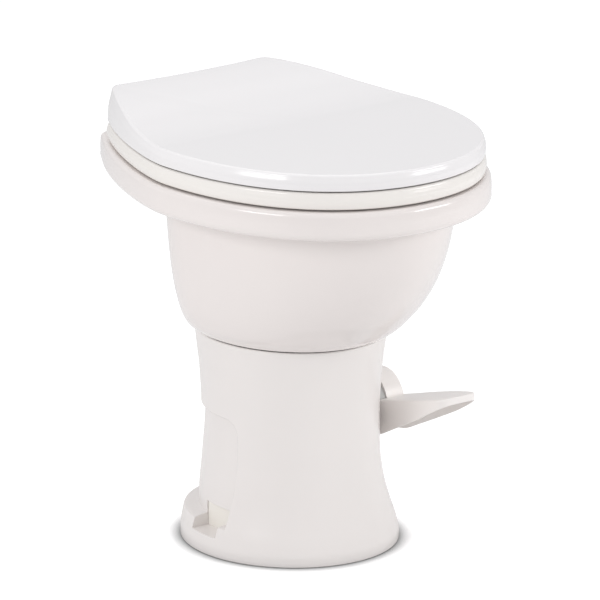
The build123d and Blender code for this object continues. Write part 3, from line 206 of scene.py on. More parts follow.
def curve_value(places, values, place):
    """The value at one place of a smooth curve that never overshoots its points."""
    spans = list(zip(places, places[1:], values, values[1:]))
    steps = [(after - before) / (end - start) for start, end, before, after in spans]
    slopes = [steps[0]]
    for low, high in zip(steps, steps[1:]):
        slopes.append(2 * low * high / (low + high) if low * high > 0 else 0.0)
    slopes.append(steps[-1])
    i = max(k for k in range(len(places) - 1) if places[k] <= place)
    width = places[i + 1] - places[i]
    t = (place - places[i]) / width
    start = (1 + 2 * t) * (1 - t) ** 2 * values[i] + t * (1 - t) ** 2 * width * slopes[i]
    return start + t**2 * (3 - 2 * t) * values[i + 1] + t**2 * (t - 1) * width * slopes[i + 1]


def row_at(rows, height):
    """The shares at one height, read off smooth curves through the rows."""
    columns = list(zip(*rows))
    return [curve_value(columns[0], column, height) for column in columns[1:]]


def oval_point(half_width, front, back, angle):
    """A point of an oval that has its own reach in front and behind."""
    reach = back if math.sin(angle) > 0 else front
    return half_width * math.cos(angle), reach * math.sin(angle)


def eased(value):
    """From 0 to 1, smooth at both ends."""
    value = min(max(value, 0.0), 1.0)
    return value * value * (3 - 2 * value)


def skin(name, rings, loop=False, first_pole=None, last_pole=None, capped=False):
    """A closed surface through rings of points that all have the same count."""
    count = len(rings[0])
    points = [point for ring in rings for point in ring]
    faces = []
    for low in range(len(rings) if loop else len(rings) - 1):
        high = (low + 1) % len(rings)
        for i in range(count):
            j = (i + 1) % count
            faces.append((low * count + i, low * count + j, high * count + j, high * count + i))
    for pole, ring in ((first_pole, 0), (last_pole, len(rings) - 1)):
        if pole is not None:
            points.append(pole)
            for i in range(count):
                faces.append((ring * count + i, ring * count + (i + 1) % count, len(points) - 1))
    if capped:
        faces += [list(range(count)), list(range(len(points) - count, len(points)))]
    mesh = bpy.data.meshes.new(name)
    mesh.from_pydata(points, [], faces)
    form = bmesh.new()
    form.from_mesh(mesh)
    bmesh.ops.recalc_face_normals(form, faces=form.faces)
    form.to_mesh(mesh)
    form.free()
    piece = bpy.data.objects.new(name, mesh)
    scene.collection.objects.link(piece)
    return piece


def prism(name, outline, low, high, along):
    """A closed prism: an outline of points pushed along X, Y or Z between two places."""
    order = {"x": (2, 0, 1), "y": (0, 2, 1), "z": (0, 1, 2)}[along]
    rings = []
    for place in (low, high):
        rings.append([tuple((u, v, place)[k] for k in order) for u, v in outline])
    return skin(name, rings, capped=True)


def rectangle(u_low, u_high, v_low, v_high):
    """The four corners of a rectangle."""
    return [(u_low, v_low), (u_high, v_low), (u_high, v_high), (u_low, v_high)]


def circle(radius, u, v, count=48):
    """Points round a circle."""
    turns = [math.tau * i / count for i in range(count)]
    return [(u + radius * math.cos(turn), v + radius * math.sin(turn)) for turn in turns]


def combine(piece, other, operation):
    """Cut the other form out of the piece, or weld it on. The other form is used up."""
    step = piece.modifiers.new("combine", "BOOLEAN")
    step.operation = operation
    step.solver = "EXACT"
    step.object = other
    seen = piece.evaluated_get(bpy.context.evaluated_depsgraph_get())
    mesh = bpy.data.meshes.new_from_object(seen)
    piece.modifiers.clear()
    piece.data = mesh
    bpy.data.objects.remove(other)


def finish_shade(piece, angle=35.0):
    """Smooth shading that breaks only where the faces turn more sharply than the angle."""
    piece.data.shade_smooth()
    piece.data.set_sharp_from_angle(angle=math.radians(angle))


def panel_depth(y, z):
    """How far a point belongs to the set-back panel, from 0 outside its edge to 1 inside."""
    inward_y = y - panel_front
    inward_top = panel_top - z
    inward = min(inward_y, inward_top)
    if inward_y < panel_corner and inward_top < panel_corner:
        inward = panel_corner - math.hypot(panel_corner - inward_y, panel_corner - inward_top)
    inward = min(inward, z - panel_bottom)
    return eased(inward / panel_edge_softness + 0.5)


def base_ring(z, inset=0.0, shell=0.0):
    """The pedestal's outer form at one height, moved inwards by a wall where one is given."""
    width, front, back = row_at(base_rows, z / base_height)
    trunk_width, trunk_back = row_at(trunk_rows, z / base_height)
    ring = []
    for angle in base_angles:
        x, y = oval_point(
            foot_half_width * width - inset, foot_front * front - inset, foot_back * back - inset, angle
        )
        half = min(foot_half_width * trunk_width - inset, foot_half_width * width - inset)
        rear = min(foot_back * trunk_back - inset, foot_back * back - inset)
        side = 1 if x > 0 else -1
        set_back = (side * half, y)
        if y > 0:
            set_back = (half * math.cos(angle), rear * math.sin(angle))
        share = panel_depth(y, z)
        if abs(x) < abs(set_back[0]) and y < 0:
            share = 0.0
        if shell > 0:
            share = eased((y - panel_front + shell_blend / 2) / shell_blend)
        ring.append((x + share * (set_back[0] - x), y + share * (set_back[1] - y), z))
    return ring


base_angles = []
edge_turn = math.asin(-panel_front / foot_front)
for centre in (math.pi + edge_turn, math.tau - edge_turn):
    base_angles += [centre + math.radians(0.4) * i for i in range(-30, 31)]
base_angles += [math.radians(2.25) * i for i in range(160)]
base_angles = sorted(angle % math.tau for angle in base_angles)
base_angles = [a for a, b in zip(base_angles, base_angles[1:] + [9.0]) if b - a > math.radians(0.15)]
base_levels = [0.0010 + 0.0025 * i for i in range(96)] + [base_height - base_lip_round]
for place in (panel_bottom, panel_top):
    base_levels += [place + 0.0005 * i for i in range(-6, 7)]
base_levels += [panel_top - panel_corner + 0.001 * i for i in range(-1, 16)]
base_levels = sorted(level for level in base_levels if level <= base_height - base_lip_round)
base_levels = [a for a, b in zip(base_levels, base_levels[1:] + [1.0]) if b - a > 0.0003]
rings = [[(x, y, 0.0) for x, y, z in base_ring(foot_edge, foot_edge)]]
rings += [base_ring(level) for level in base_levels]
for turn in (30.0, 60.0, 90.0):
    turn = math.radians(turn)
    inset = base_lip_round * (1 - math.cos(turn))
    height = base_height - base_lip_round * (1 - math.sin(turn))
    rings.append([(x, y, height) for x, y, z in base_ring(base_height - base_lip_round, inset)])
rings.append([(x, y, base_height) for x, y, z in base_ring(base_height, base_wall, 1.0)])
inside_levels = [base_height * share for share in inside_shares]
rings += [base_ring(level, base_wall, 1.0) for level in inside_levels + [foot_plate]]
for radius, height in (
    (outlet_hole_radius, foot_plate), (outlet_hole_radius, outlet_seat_height),
    (outlet_seat_radius, outlet_seat_height), (outlet_seat_radius, 0.0),
):
    rings.append([(radius * math.cos(angle), radius * math.sin(angle), height) for angle in base_angles])
pedestal = skin("pedestal", rings, loop=True)

pocket_ahead = -0.013
pocket_behind = 0.033
pocket_floor = 0.021
pocket_top = 0.049
pocket_back = 0.0662
pocket_wall = 0.004
pocket_frame_bottom = 0.004
bolt_x = 0.0762
bolt_hole_radius = 0.0045
bolt_slot_bottom = -0.01
bolt_slot_top = 0.03
solid_rings = [base_ring(level) for level in base_levels if level < pocket_top + 2 * pocket_wall]
for side in (1, -1):
    inner, outer = sorted((side * (pocket_back - pocket_wall), side * foot_half_width))
    pocket_frame = prism(
        "pocket frame",
        rectangle(
            pocket_ahead - pocket_wall, pocket_behind + pocket_wall,
            pocket_frame_bottom, pocket_top + pocket_wall,
        ),
        inner, outer, "x",
    )
    foot_form = skin(
        "foot form", solid_rings,
        first_pole=(0, 0, solid_rings[0][0][2]), last_pole=(0, 0, solid_rings[-1][0][2]),
    )
    combine(pocket_frame, foot_form, "INTERSECT")
    combine(pedestal, pocket_frame, "UNION")
    inner, outer = sorted((side * pocket_back, side * (foot_half_width + cut_overrun)))
    pocket = prism(
        "pocket", rectangle(pocket_ahead, pocket_behind, pocket_floor, pocket_top), inner, outer, "x"
    )
    combine(pedestal, pocket, "DIFFERENCE")
    slot = prism(
        "bolt slot", circle(bolt_hole_radius, side * bolt_x, 0.0), bolt_slot_bottom, bolt_slot_top, "z"
    )
    combine(pedestal, slot, "DIFFERENCE")
hub_recess = prism("hub recess", circle(hub_recess_radius, 0.0, hub_height, 96), trunk_side, cut_end, "x")
combine(pedestal, hub_recess, "DIFFERENCE")
shaft_hole = prism("shaft hole", circle(shaft_hole_radius, 0.0, hub_height), shaft_hole_start, cut_end, "x")
combine(pedestal, shaft_hole, "DIFFERENCE")
finish_shade(pedestal)


def uneven_surface_group():
    """What every finish here shares: a drift of colour, uneven gloss, and grain over slow ripples."""
    group = bpy.data.node_groups.new("uneven surface", "ShaderNodeTree")
    join = group.links.new
    for label, kind, value in (
        ("Colour", "NodeSocketColor", (0.8, 0.8, 0.8, 1.0)),
        ("Drift Colour", "NodeSocketColor", (0.75, 0.75, 0.75, 1.0)),
        ("Drift Scale", "NodeSocketFloat", 9.0),
        ("Gloss Low", "NodeSocketFloat", 0.15),
        ("Gloss High", "NodeSocketFloat", 0.25),
        ("Smear Scale", "NodeSocketFloat", 30.0),
        ("Grain Scale", "NodeSocketFloat", 900.0),
        ("Ripple Scale", "NodeSocketFloat", 60.0),
        ("Ripple Share", "NodeSocketFloat", 0.5),
    ):
        group.interface.new_socket(label, in_out="INPUT", socket_type=kind).default_value = value
    group.interface.new_socket("Colour", in_out="OUTPUT", socket_type="NodeSocketColor")
    group.interface.new_socket("Roughness", in_out="OUTPUT", socket_type="NodeSocketFloat")
    group.interface.new_socket("Height", in_out="OUTPUT", socket_type="NodeSocketFloat")
    entry = group.nodes.new("NodeGroupInput")
    leave = group.nodes.new("NodeGroupOutput")
    place = group.nodes.new("ShaderNodeTexCoord")

    def noise(scale_label, detail, roughness):
        """A noise pattern in the piece's own space."""
        pattern = group.nodes.new("ShaderNodeTexNoise")
        pattern.inputs["Detail"].default_value = detail
        pattern.inputs["Roughness"].default_value = roughness
        join(place.outputs["Object"], pattern.inputs["Vector"])
        join(entry.outputs[scale_label], pattern.inputs["Scale"])
        return pattern.outputs["Fac"]

    blend = group.nodes.new("ShaderNodeMix")
    blend.data_type = "RGBA"
    colour_inputs = [socket for socket in blend.inputs if socket.type == "RGBA"]
    join(noise("Drift Scale", 3.0, 0.5), blend.inputs["Factor"])
    join(entry.outputs["Colour"], colour_inputs[0])
    join(entry.outputs["Drift Colour"], colour_inputs[1])
    drifted = [socket for socket in blend.outputs if socket.type == "RGBA"][0]
    join(drifted, leave.inputs["Colour"])
    gloss = group.nodes.new("ShaderNodeMapRange")
    gloss.inputs["From Min"].default_value = 0.1
    gloss.inputs["From Max"].default_value = 0.9
    join(noise("Smear Scale", 1.5, 0.4), gloss.inputs["Value"])
    join(entry.outputs["Gloss Low"], gloss.inputs["To Min"])
    join(entry.outputs["Gloss High"], gloss.inputs["To Max"])
    join(gloss.outputs["Result"], leave.inputs["Roughness"])
    mixed = group.nodes.new("ShaderNodeMix")
    join(entry.outputs["Ripple Share"], mixed.inputs["Factor"])
    join(noise("Grain Scale", 2.0, 0.5), mixed.inputs["A"])
    join(noise("Ripple Scale", 1.0, 0.4), mixed.inputs["B"])
    join(mixed.outputs["Result"], leave.inputs["Height"])
    return group


uneven_surface = uneven_surface_group()


def finish(name, colour, drift_colour, gloss, grain_depth, metallic=0.0, coat=0.0, **values):
    """A finish over the shared uneven surface, with its own colours, gloss and grain."""
    material = bpy.data.materials.new(name)
    material.use_nodes = True
    tree = material.node_tree
    shader = tree.nodes["Principled BSDF"]
    surface = tree.nodes.new("ShaderNodeGroup")
    surface.node_tree = uneven_surface
    surface.inputs["Colour"].default_value = (*colour, 1.0)
    surface.inputs["Drift Colour"].default_value = (*drift_colour, 1.0)
    surface.inputs["Gloss Low"].default_value, surface.inputs["Gloss High"].default_value = gloss
    for label, value in values.items():
        surface.inputs[label.replace("_", " ").title()].default_value = value
    relief = tree.nodes.new("ShaderNodeBump")
    relief.inputs["Distance"].default_value = grain_depth
    relief.inputs["Strength"].default_value = 1.0
    shader.inputs["Metallic"].default_value = metallic
    shader.inputs["Coat Weight"].default_value = coat
    shader.inputs["Coat Roughness"].default_value = 0.13
    tree.links.new(surface.outputs["Colour"], shader.inputs["Base Color"])
    tree.links.new(surface.outputs["Roughness"], shader.inputs["Roughness"])
    tree.links.new(surface.outputs["Height"], relief.inputs["Height"])
    tree.links.new(relief.outputs["Normal"], shader.inputs["Normal"])
    return material


def dress(piece, material):
    """Give a piece its one material."""
    piece.data.materials.clear()
    piece.data.materials.append(material)


base_plastic = finish(
    "satin pedestal plastic", (0.825, 0.785, 0.765), (0.805, 0.77, 0.75), (0.20, 0.25), 0.00003,
    smear_scale=12.0, grain_scale=1100.0, ripple_scale=20.0, ripple_share=0.8,
)
dress(pedestal, base_plastic)
# The covers are paler than the pedestal: painted light that brightens them where they sit in the shade of the
# pockets.
cover_plastic_painted_light = finish(
    "satin cover plastic painted paler", (0.90, 0.87, 0.81), (0.88, 0.85, 0.80), (0.30, 0.36), 0.00004,
    smear_scale=12.0, grain_scale=900.0, ripple_scale=30.0,
)
dress(nodes["pocket_covers"], cover_plastic_painted_light)
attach(pedestal, "base")
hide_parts("pedestal_base")

# Bowl: glazed china in one piece. A thick hollowed rim carries the seat and the hinge deck,
# and below it the throat stands in the pedestal on a soft ring, clamped by its flange.
bowl_bottom = 0.2445
rim_height = 0.4345
rim_bottom = 0.402
bowl_half_width = 0.151
bowl_front = 0.222
bowl_back = 0.112
# Height, half width, front and back as shares of the bowl
bowl_rows = [
    (0.000, 0.682, 0.532, 1.018),
    (0.036, 0.745, 0.580, 0.993),
    (0.086, 0.802, 0.626, 0.969),
    (0.162, 0.851, 0.684, 0.954),
    (0.251, 0.890, 0.749, 0.944),
    (0.403, 0.934, 0.835, 0.941),
    (0.548, 0.961, 0.897, 0.943),
    (0.707, 0.977, 0.948, 0.961),
    (0.859, 0.987, 0.981, 0.982),
    (1.000, 1.000, 1.000, 1.000),
]
seat_half_width = 0.1832
seat_front = 0.2417
seat_widest = -0.0098
seat_back = 0.1875
seat_back_half_width = 0.1128
seat_back_dip = 0.005
seat_side_slope = math.radians(32.0)
rim_overhang = 0.0055
rim_back = 0.221
rim_corner = 0.016
rim_top_round = 0.006
rim_bottom_round = 0.009
rim_belly = 0.0006
rim_root_fillet = 0.004
rim_opening = (0.122, 0.196, 0.098)
rim_opening_round = 0.005
bowl_wall = 0.010
bowl_wall_growth = 0.7
throat_radius = 0.038
throat_bottom = 0.1928
throat_flange_top = 0.2028
throat_flange_radius = 0.080
throat_wall_radius = 0.056
bowl_lip_round = 0.0016


def bend(points, share):
    """A point of a Bezier curve with four control points."""
    rest = 1 - share
    weights = (rest**3, 3 * rest * rest * share, 3 * rest * share * share, share**3)
    return tuple(sum(w * point[k] for w, point in zip(weights, points)) for k in (0, 1))


def plan_ring(grow, height, back, corner, front_grow=None, back_width_grow=None):
    """The seat's plan made larger by grow: round nose, swelling sides and rounded rear corners."""
    wide = seat_half_width + grow
    tip = -(seat_front + (grow if front_grow is None else front_grow))
    turn = seat_back_half_width + (grow if back_width_grow is None else back_width_grow)
    end = min(back, seat_back)
    run = end - seat_widest
    lean = (math.sin(seat_side_slope), math.cos(seat_side_slope))
    corner_x = turn - (back - end) * lean[0] / lean[1]
    shoulder = seat_widest + 0.6 * (tip - seat_widest)
    nose = [(0, tip), (wide * 0.6, tip), (wide, shoulder), (wide, seat_widest)]
    side = [
        (wide, seat_widest),
        (wide, seat_widest + 0.18 * run),
        (turn + 0.39 * run * lean[0], end - 0.39 * run * lean[1]),
        (turn, end),
    ]
    dip_radius = (corner_x**2 + seat_back_dip**2) / (2 * seat_back_dip)
    dip_middle = back - seat_back_dip + dip_radius
    # The corner's centre lies one radius inside the side line and the rear arc
    along = (-lean[0], lean[1])
    start = (corner_x - corner * lean[1], back - corner * lean[0])
    low = -0.06
    high = 0.06
    for step in range(40):
        middle = (low + high) / 2
        place = (start[0] + middle * along[0], start[1] + middle * along[1])
        if math.hypot(place[0], place[1] - dip_middle) > dip_radius + corner:
            low = middle
        else:
            high = middle
    centre = (start[0] + low * along[0], start[1] + low * along[1])
    touch = (centre[0] + corner * lean[1], centre[1] + corner * lean[0])
    rear_turn = math.atan2(dip_middle - centre[1], -centre[0])
    half = [bend(nose, i / 44) for i in range(44)]
    if back > end:
        half += [bend(side, i / 30) for i in range(30)]
    else:
        reach = math.hypot(touch[0] - turn, touch[1] - end)
        full = math.hypot(side[3][0] - side[2][0], side[3][1] - side[2][1])
        last = 1 - reach / (3 * full)
        half += [bend(side, last * i / 30) for i in range(30)]
    start_turn = math.atan2(lean[0], lean[1])
    half += [
        (centre[0] + corner * math.cos(a), centre[1] + corner * math.sin(a))
        for a in [start_turn + (rear_turn - start_turn) * i / 14 for i in range(15)]
    ]
    last_x = half[-1][0]
    for i in range(1, 13):
        x = last_x * (1 - i / 12)
        half.append((x, dip_middle - math.sqrt(dip_radius**2 - x * x)))
    whole = half + [(-x, y) for x, y in half[-2:0:-1]]
    return [(x, y, height) for x, y in whole]


rim_line = plan_ring(rim_overhang, 0.0, rim_back, rim_corner)
rim_front = seat_front + rim_overhang
rim_half_width = seat_half_width + rim_overhang
bowl_angles = [
    math.atan2(y / (rim_back if y > 0 else rim_front), x / rim_half_width) for x, y, z in rim_line
]


def oval_ring(half_width, front, back, height):
    """A level oval whose points face those of the rim's outline."""
    return [(*oval_point(half_width, front, back, angle), height) for angle in bowl_angles]


def bowl_ring(share, inset=0.0, rise=0.0):
    """One level of the bowl between its joint and the underside of the rim."""
    width, front, back = row_at(bowl_rows, share)
    height = bowl_bottom + share * (rim_bottom - bowl_bottom) + rise
    return oval_ring(
        bowl_half_width * width - inset, bowl_front * front - inset, bowl_back * back - inset, height
    )


def rim_ring(inset, height):
    """One level of the rim's outer edge."""
    return plan_ring(rim_overhang - inset, height, rim_back - inset, rim_corner - inset)


def top_rings(outer_line, hole, edge_round, height, shares):
    """Rings over a flat top from its outer edge to a hole, then down the hole's rounded edge."""
    inner_line = oval_ring(*[reach + edge_round for reach in hole], height)
    found = []
    for share in shares:
        pairs = zip(outer_line, inner_line)
        found.append([tuple(a + share * (b - a) for a, b in zip(p, q)) for p, q in pairs])
    for turn in lip_turns:
        size = edge_round * (1 - math.sin(turn))
        level = height - edge_round * (1 - math.cos(turn))
        found.append(oval_ring(*[reach + size for reach in hole], level))
    return found


lip_turns = [math.radians(turn) for turn in (0.0, 22.5, 45.0, 67.5, 90.0)]
fine_turns = [math.radians(7.5 * i) for i in range(13)]
first_width, first_front, first_back = row_at(bowl_rows, 0.0)
rings = [
    oval_ring(
        bowl_half_width * first_width - bowl_lip_round, bowl_front * first_front - bowl_lip_round,
        bowl_back * first_back - bowl_lip_round, bowl_bottom,
    )
]
for i in range(1, 9):
    share = 0.02 * (i / 8) ** 2
    rings.append(bowl_ring(share, bowl_lip_round * (1 - i / 8) ** 3))
rings += [bowl_ring(0.02 + 0.955 * i / 56) for i in range(1, 57)]
for turn in lip_turns:
    out = rim_root_fillet * (1 - math.cos(turn))
    drop = rim_root_fillet * (1 - math.sin(turn))
    rings.append([(x, y, rim_bottom - drop) for x, y, z in bowl_ring(1.0, -out)])
rings.append(rim_ring(rim_bottom_round + 0.004, rim_bottom))
for turn in fine_turns:
    rings.append(
        rim_ring(rim_bottom_round * (1 - math.sin(turn)) + rim_belly * math.cos(turn),
                 rim_bottom + rim_bottom_round * (1 - math.cos(turn)))
    )
side_low = rim_bottom + rim_bottom_round
side_high = rim_height - rim_top_round
for share in (0.2, 0.4, 0.6, 0.8):
    height = side_low + share * (side_high - side_low)
    rings.append(rim_ring(rim_belly * (1 - math.sin(math.pi * share)), height))
for turn in fine_turns:
    rings.append(
        rim_ring(rim_top_round * (1 - math.cos(turn)) + rim_belly,
                 side_high + rim_top_round * math.sin(turn))
    )
shares = (0.02, 0.1, 0.3, 0.5, 0.7, 0.9)
rings += top_rings(rings[-1], rim_opening, rim_opening_round, rim_height, shares)
rings.append(oval_ring(*rim_opening, rim_bottom + 0.002))
rings.append(oval_ring(*rim_opening, rim_bottom))
for i in range(41):
    share = 1 - 0.96 * i / 40
    rings.append(bowl_ring(share, bowl_wall * (1 + bowl_wall_growth * (1 - share) ** 2)))
joint_half, joint_front, joint_back = [
    foot * row for foot, row in zip((foot_half_width, foot_front, foot_back), row_at(base_rows, 1.0))
]
# Height between flange and joint, half width, front and back as shares of the joint
passage_rows = ((0.78, 0.67, 0.66, 0.61), (0.38, 0.50, 0.44, 0.44))
for share, width, front, back in passage_rows:
    height = throat_flange_top + share * (bowl_bottom - throat_flange_top)
    rings.append(oval_ring(joint_half * width, joint_front * front, joint_back * back, height))
for radius, height in (
    (throat_radius * 1.03, throat_flange_top), (throat_radius, throat_flange_top - 0.001),
    (throat_radius, throat_bottom), (throat_flange_radius, throat_bottom),
    (throat_flange_radius, throat_flange_top), (throat_wall_radius, throat_flange_top),
):
    rings.append(oval_ring(radius, radius, radius, height))
spigot_inset = base_wall + 0.0015
spigot_rows = ((0.38, 0.68, 0.62, 0.62), (0.78, 0.87, 0.86, 0.84), (1.0, 1.0, 1.0, 1.0))
for share, width, front, back in spigot_rows:
    height = throat_flange_top + share * (bowl_bottom - throat_flange_top)
    rings.append(oval_ring(
        (joint_half - spigot_inset) * width, (joint_front - spigot_inset) * front,
        (joint_back - spigot_inset) * back, height,
    ))
bowl = skin("china_bowl", rings, loop=True)


def together(name, pieces):
    """Several separate closed forms as one, so that one cut or weld takes them all."""
    form = bmesh.new()
    for piece in pieces:
        form.from_mesh(piece.data)
        bpy.data.objects.remove(piece)
    mesh = bpy.data.meshes.new(name)
    form.to_mesh(mesh)
    form.free()
    whole = bpy.data.objects.new(name, mesh)
    scene.collection.objects.link(whole)
    return whole


hinge_y = 0.203
post_x = 0.062
post_hole_radius = 0.0055
post_hole_bottom = 0.410
post_hole_top = 0.44
spout_hole_radius = 0.009
spout_hole_front = 0.083
spout_hole_back = 0.125
spout_x = 0.054
spout_height = 0.386
deck_pocket_half_width = 0.076
deck_pocket_front = 0.119
deck_pocket_back = 0.2135
deck_pocket_top = 0.420
deck_pocket = prism(
    "deck pocket",
    rectangle(-deck_pocket_half_width, deck_pocket_half_width, deck_pocket_front, deck_pocket_back),
    rim_bottom - cut_overrun, deck_pocket_top, "z",
)
combine(bowl, deck_pocket, "DIFFERENCE")
holes = [
    prism("post hole", circle(post_hole_radius, side * post_x, hinge_y), post_hole_bottom, post_hole_top, "z")
    for side in (1, -1)
]
spout_outline = circle(spout_hole_radius, spout_x, spout_height)
holes.append(prism("spout hole", spout_outline, spout_hole_front, spout_hole_back, "y"))
combine(bowl, together("deck holes", holes), "DIFFERENCE")
finish_shade(bowl)
china = finish(
    "glazed china", (0.82, 0.768, 0.745), (0.805, 0.755, 0.735), (0.12, 0.16), 0.00005,
    coat=0.4, smear_scale=8.0, grain_scale=500.0, ripple_scale=14.0, ripple_share=0.9,
)
dress(bowl, china)
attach(bowl, "base")
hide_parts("bowl")

# Seat ring: a glossy moulding with a rounded edge, hollow below, with four soft pads that
# rest on the rim. Two arms at the back reach up to the hinge pins.
seat_bottom = 0.4363
seat_top = 0.4555
seat_corner = 0.012
seat_edge_round = 0.0034
seat_belly = 0.0011
seat_hole = (0.106, 0.180, 0.088)
seat_hole_round = 0.0035
seat_hole_edge = 0.0012
seat_recess_wall = 0.006
seat_recess_depth = 0.013
hinge_height = 0.475
knuckle_radius = 0.008
pin_bore = 0.00355
seat_arm_inner = 0.075
seat_arm_outer = 0.085
seat_arm_front = 0.1765
seat_arm_back = 0.211
seat_arm_bottom = 0.4375
seat_arm_top = 0.455
seat_rim_wall = 0.0085
pad_post_radius = 0.009
pad_recess_radius = 0.0073
pad_recess_depth = 0.0012
seat_bore_reach = 0.09
pad_places = [(-0.0983, -0.1645), (-0.1345, 0.059), (0.0983, -0.1645), (0.1345, 0.059)]


def seat_ring_at(inset, height):
    """One level of the seat's outer edge."""
    return plan_ring(-inset, height, seat_back - inset, max(seat_corner - inset, 0.003))


def belly_profile(low, high, edge_round, belly):
    """Inset and height pairs up a rounded edge that swells a little in the middle."""
    pairs = []
    turns = [math.radians(9.0 * i) for i in range(11)]
    for turn in turns:
        inset = edge_round * (1 - math.sin(turn)) + belly
        pairs.append((inset, low + edge_round * (1 - math.cos(turn))))
    for i in range(1, 8):
        share = i / 8
        height = low + edge_round + share * (high - low - 2 * edge_round)
        pairs.append((belly * (1 - math.sin(math.pi * share)), height))
    for turn in turns:
        inset = edge_round * (1 - math.cos(turn)) + belly
        pairs.append((inset, high - edge_round * (1 - math.sin(turn))))
    return pairs


def knuckle_arc(start):
    """Half a circle round the hinge pin, from a given angle on."""
    turns = [math.pi * i / 16 + start for i in range(17)]
    return [
        (hinge_y + knuckle_radius * math.cos(a), hinge_height + knuckle_radius * math.sin(a)) for a in turns
    ]


def fit_pads(piece, low, tops, bore_reach):
    """Weld a post over each pad, then cut the pads' recesses and the bore for the hinge pins."""
    posts = [
        prism("pad post", circle(pad_post_radius, x, y, 32), low, top, "z")
        for (x, y), top in zip(pad_places, tops)
    ]
    combine(piece, together("pad posts", posts), "UNION")
    cuts = [
        prism("pad recess", circle(pad_recess_radius, x, y, 32),
              low - cut_overrun, low + pad_recess_depth, "z")
        for x, y in pad_places
    ]
    cuts.append(prism("pin bore", circle(pin_bore, hinge_y, hinge_height, 24), -bore_reach, bore_reach, "x"))
    combine(piece, together("pad and pin cuts", cuts), "DIFFERENCE")


rings = [seat_ring_at(inset, height) for inset, height in
         belly_profile(seat_bottom, seat_top, seat_edge_round, seat_belly)]
shares = (0.03, 0.15, 0.35, 0.5, 0.65, 0.85, 0.97)
rings += top_rings(rings[-1], seat_hole, seat_hole_round, seat_top, shares)
rings.append(oval_ring(*seat_hole, seat_bottom + seat_hole_edge))
rings.append(oval_ring(*[reach + seat_hole_edge for reach in seat_hole], seat_bottom))
recess_top = seat_bottom + seat_recess_depth
wall_reach = [reach + seat_recess_wall for reach in seat_hole]
rings.append(oval_ring(*wall_reach, seat_bottom))
rings.append(oval_ring(*wall_reach, recess_top))
rings.append(seat_ring_at(seat_rim_wall, recess_top))
rings.append(seat_ring_at(seat_rim_wall, seat_bottom))
seat = skin("seat_ring_moulding", rings, loop=True)
arms = []
for side in (1, -1):
    low, high = sorted((side * seat_arm_inner, side * seat_arm_outer))
    outline = [(seat_arm_front, seat_arm_bottom), (seat_arm_back, seat_arm_bottom)] + knuckle_arc(0.0)
    outline += [(0.195, 0.458), (0.192, seat_arm_top), (seat_arm_front, seat_arm_top)]
    arms.append(prism("seat arm", outline, low, high, "x"))
combine(seat, together("seat arms", arms), "UNION")
fit_pads(seat, seat_bottom, [recess_top + 0.001] * len(pad_places), seat_bore_reach)
finish_shade(seat)
seat_plastic = finish(
    "gloss seat plastic", (0.86, 0.825, 0.785), (0.84, 0.81, 0.775), (0.15, 0.19), 0.00002,
    coat=0.3, smear_scale=8.0, grain_scale=1300.0, ripple_scale=22.0, ripple_share=0.85,
)
dress(seat, seat_plastic)
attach(seat, "seat")
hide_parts("seat_ring")

# Lid: a glossy shell, thin in front and thicker towards the hinge, hollow below, with four
# soft pads that rest on the seat and two arms on the same hinge pins.
lid_bottom = 0.4571
lid_front_top = 0.475
lid_back_top = 0.4956
lid_wall = 0.0035
lid_side_inset = 0.0055
lid_front_inset = 0.0025
lid_back_inset = 0.0015
lid_top_round = 0.0030
lid_bottom_round = 0.0014
lid_belly = 0.0010
lid_arm_inner = 0.0415
lid_arm_outer = 0.0525
lid_arm_front = 0.1785
lid_bore_reach = 0.0575
lid_inner_step = 0.01
lid_inner_corner = 0.006
# Places along the lid as shares of the rear reach, and the top's rise as shares of the whole
lid_places = [-1.32, -0.45, 0.0, 0.10, 0.42, 0.69, 0.90, 1.03]
lid_rises = [0.0, 0.0, 0.0, 0.03, 0.31, 0.72, 0.96, 1.03]
lid_low_ring = plan_ring(0.0, 0.0, seat_back, seat_corner)
lid_high_ring = plan_ring(
    -lid_side_inset, 0.0, seat_back - lid_back_inset, seat_corner, -lid_front_inset, -lid_side_inset
)


def lid_top(y):
    """Height of the lid's top above one place along its length."""
    share = min(max(y / seat_back, lid_places[0]), lid_places[-1])
    return lid_front_top + (lid_back_top - lid_front_top) * curve_value(lid_places, lid_rises, share)


def lid_ring(share, inset, drop=0.0, wall=0.0):
    """A ring round the lid at a share of its local height, moved inwards by an inset."""
    ring = []
    tapers = []
    for low, high in zip(lid_low_ring, lid_high_ring):
        top = lid_top(low[1]) - wall
        height = lid_bottom + share * (top - lid_bottom) - drop
        part = (height - lid_bottom) / (lid_back_top - lid_bottom)
        tapers.append((low[0] + part * (high[0] - low[0]), low[1] + part * (high[1] - low[1]), height))
    if inset == 0:
        return tapers
    inner = plan_ring(-lid_inner_step, 0.0, seat_back - lid_inner_step, lid_inner_corner)
    for point, low, deep in zip(tapers, lid_low_ring, inner):
        move = inset / lid_inner_step
        across = point[0] + move * (deep[0] - low[0])
        along = point[1] + move * (deep[1] - low[1])
        ring.append((across, along, point[2]))
    return ring


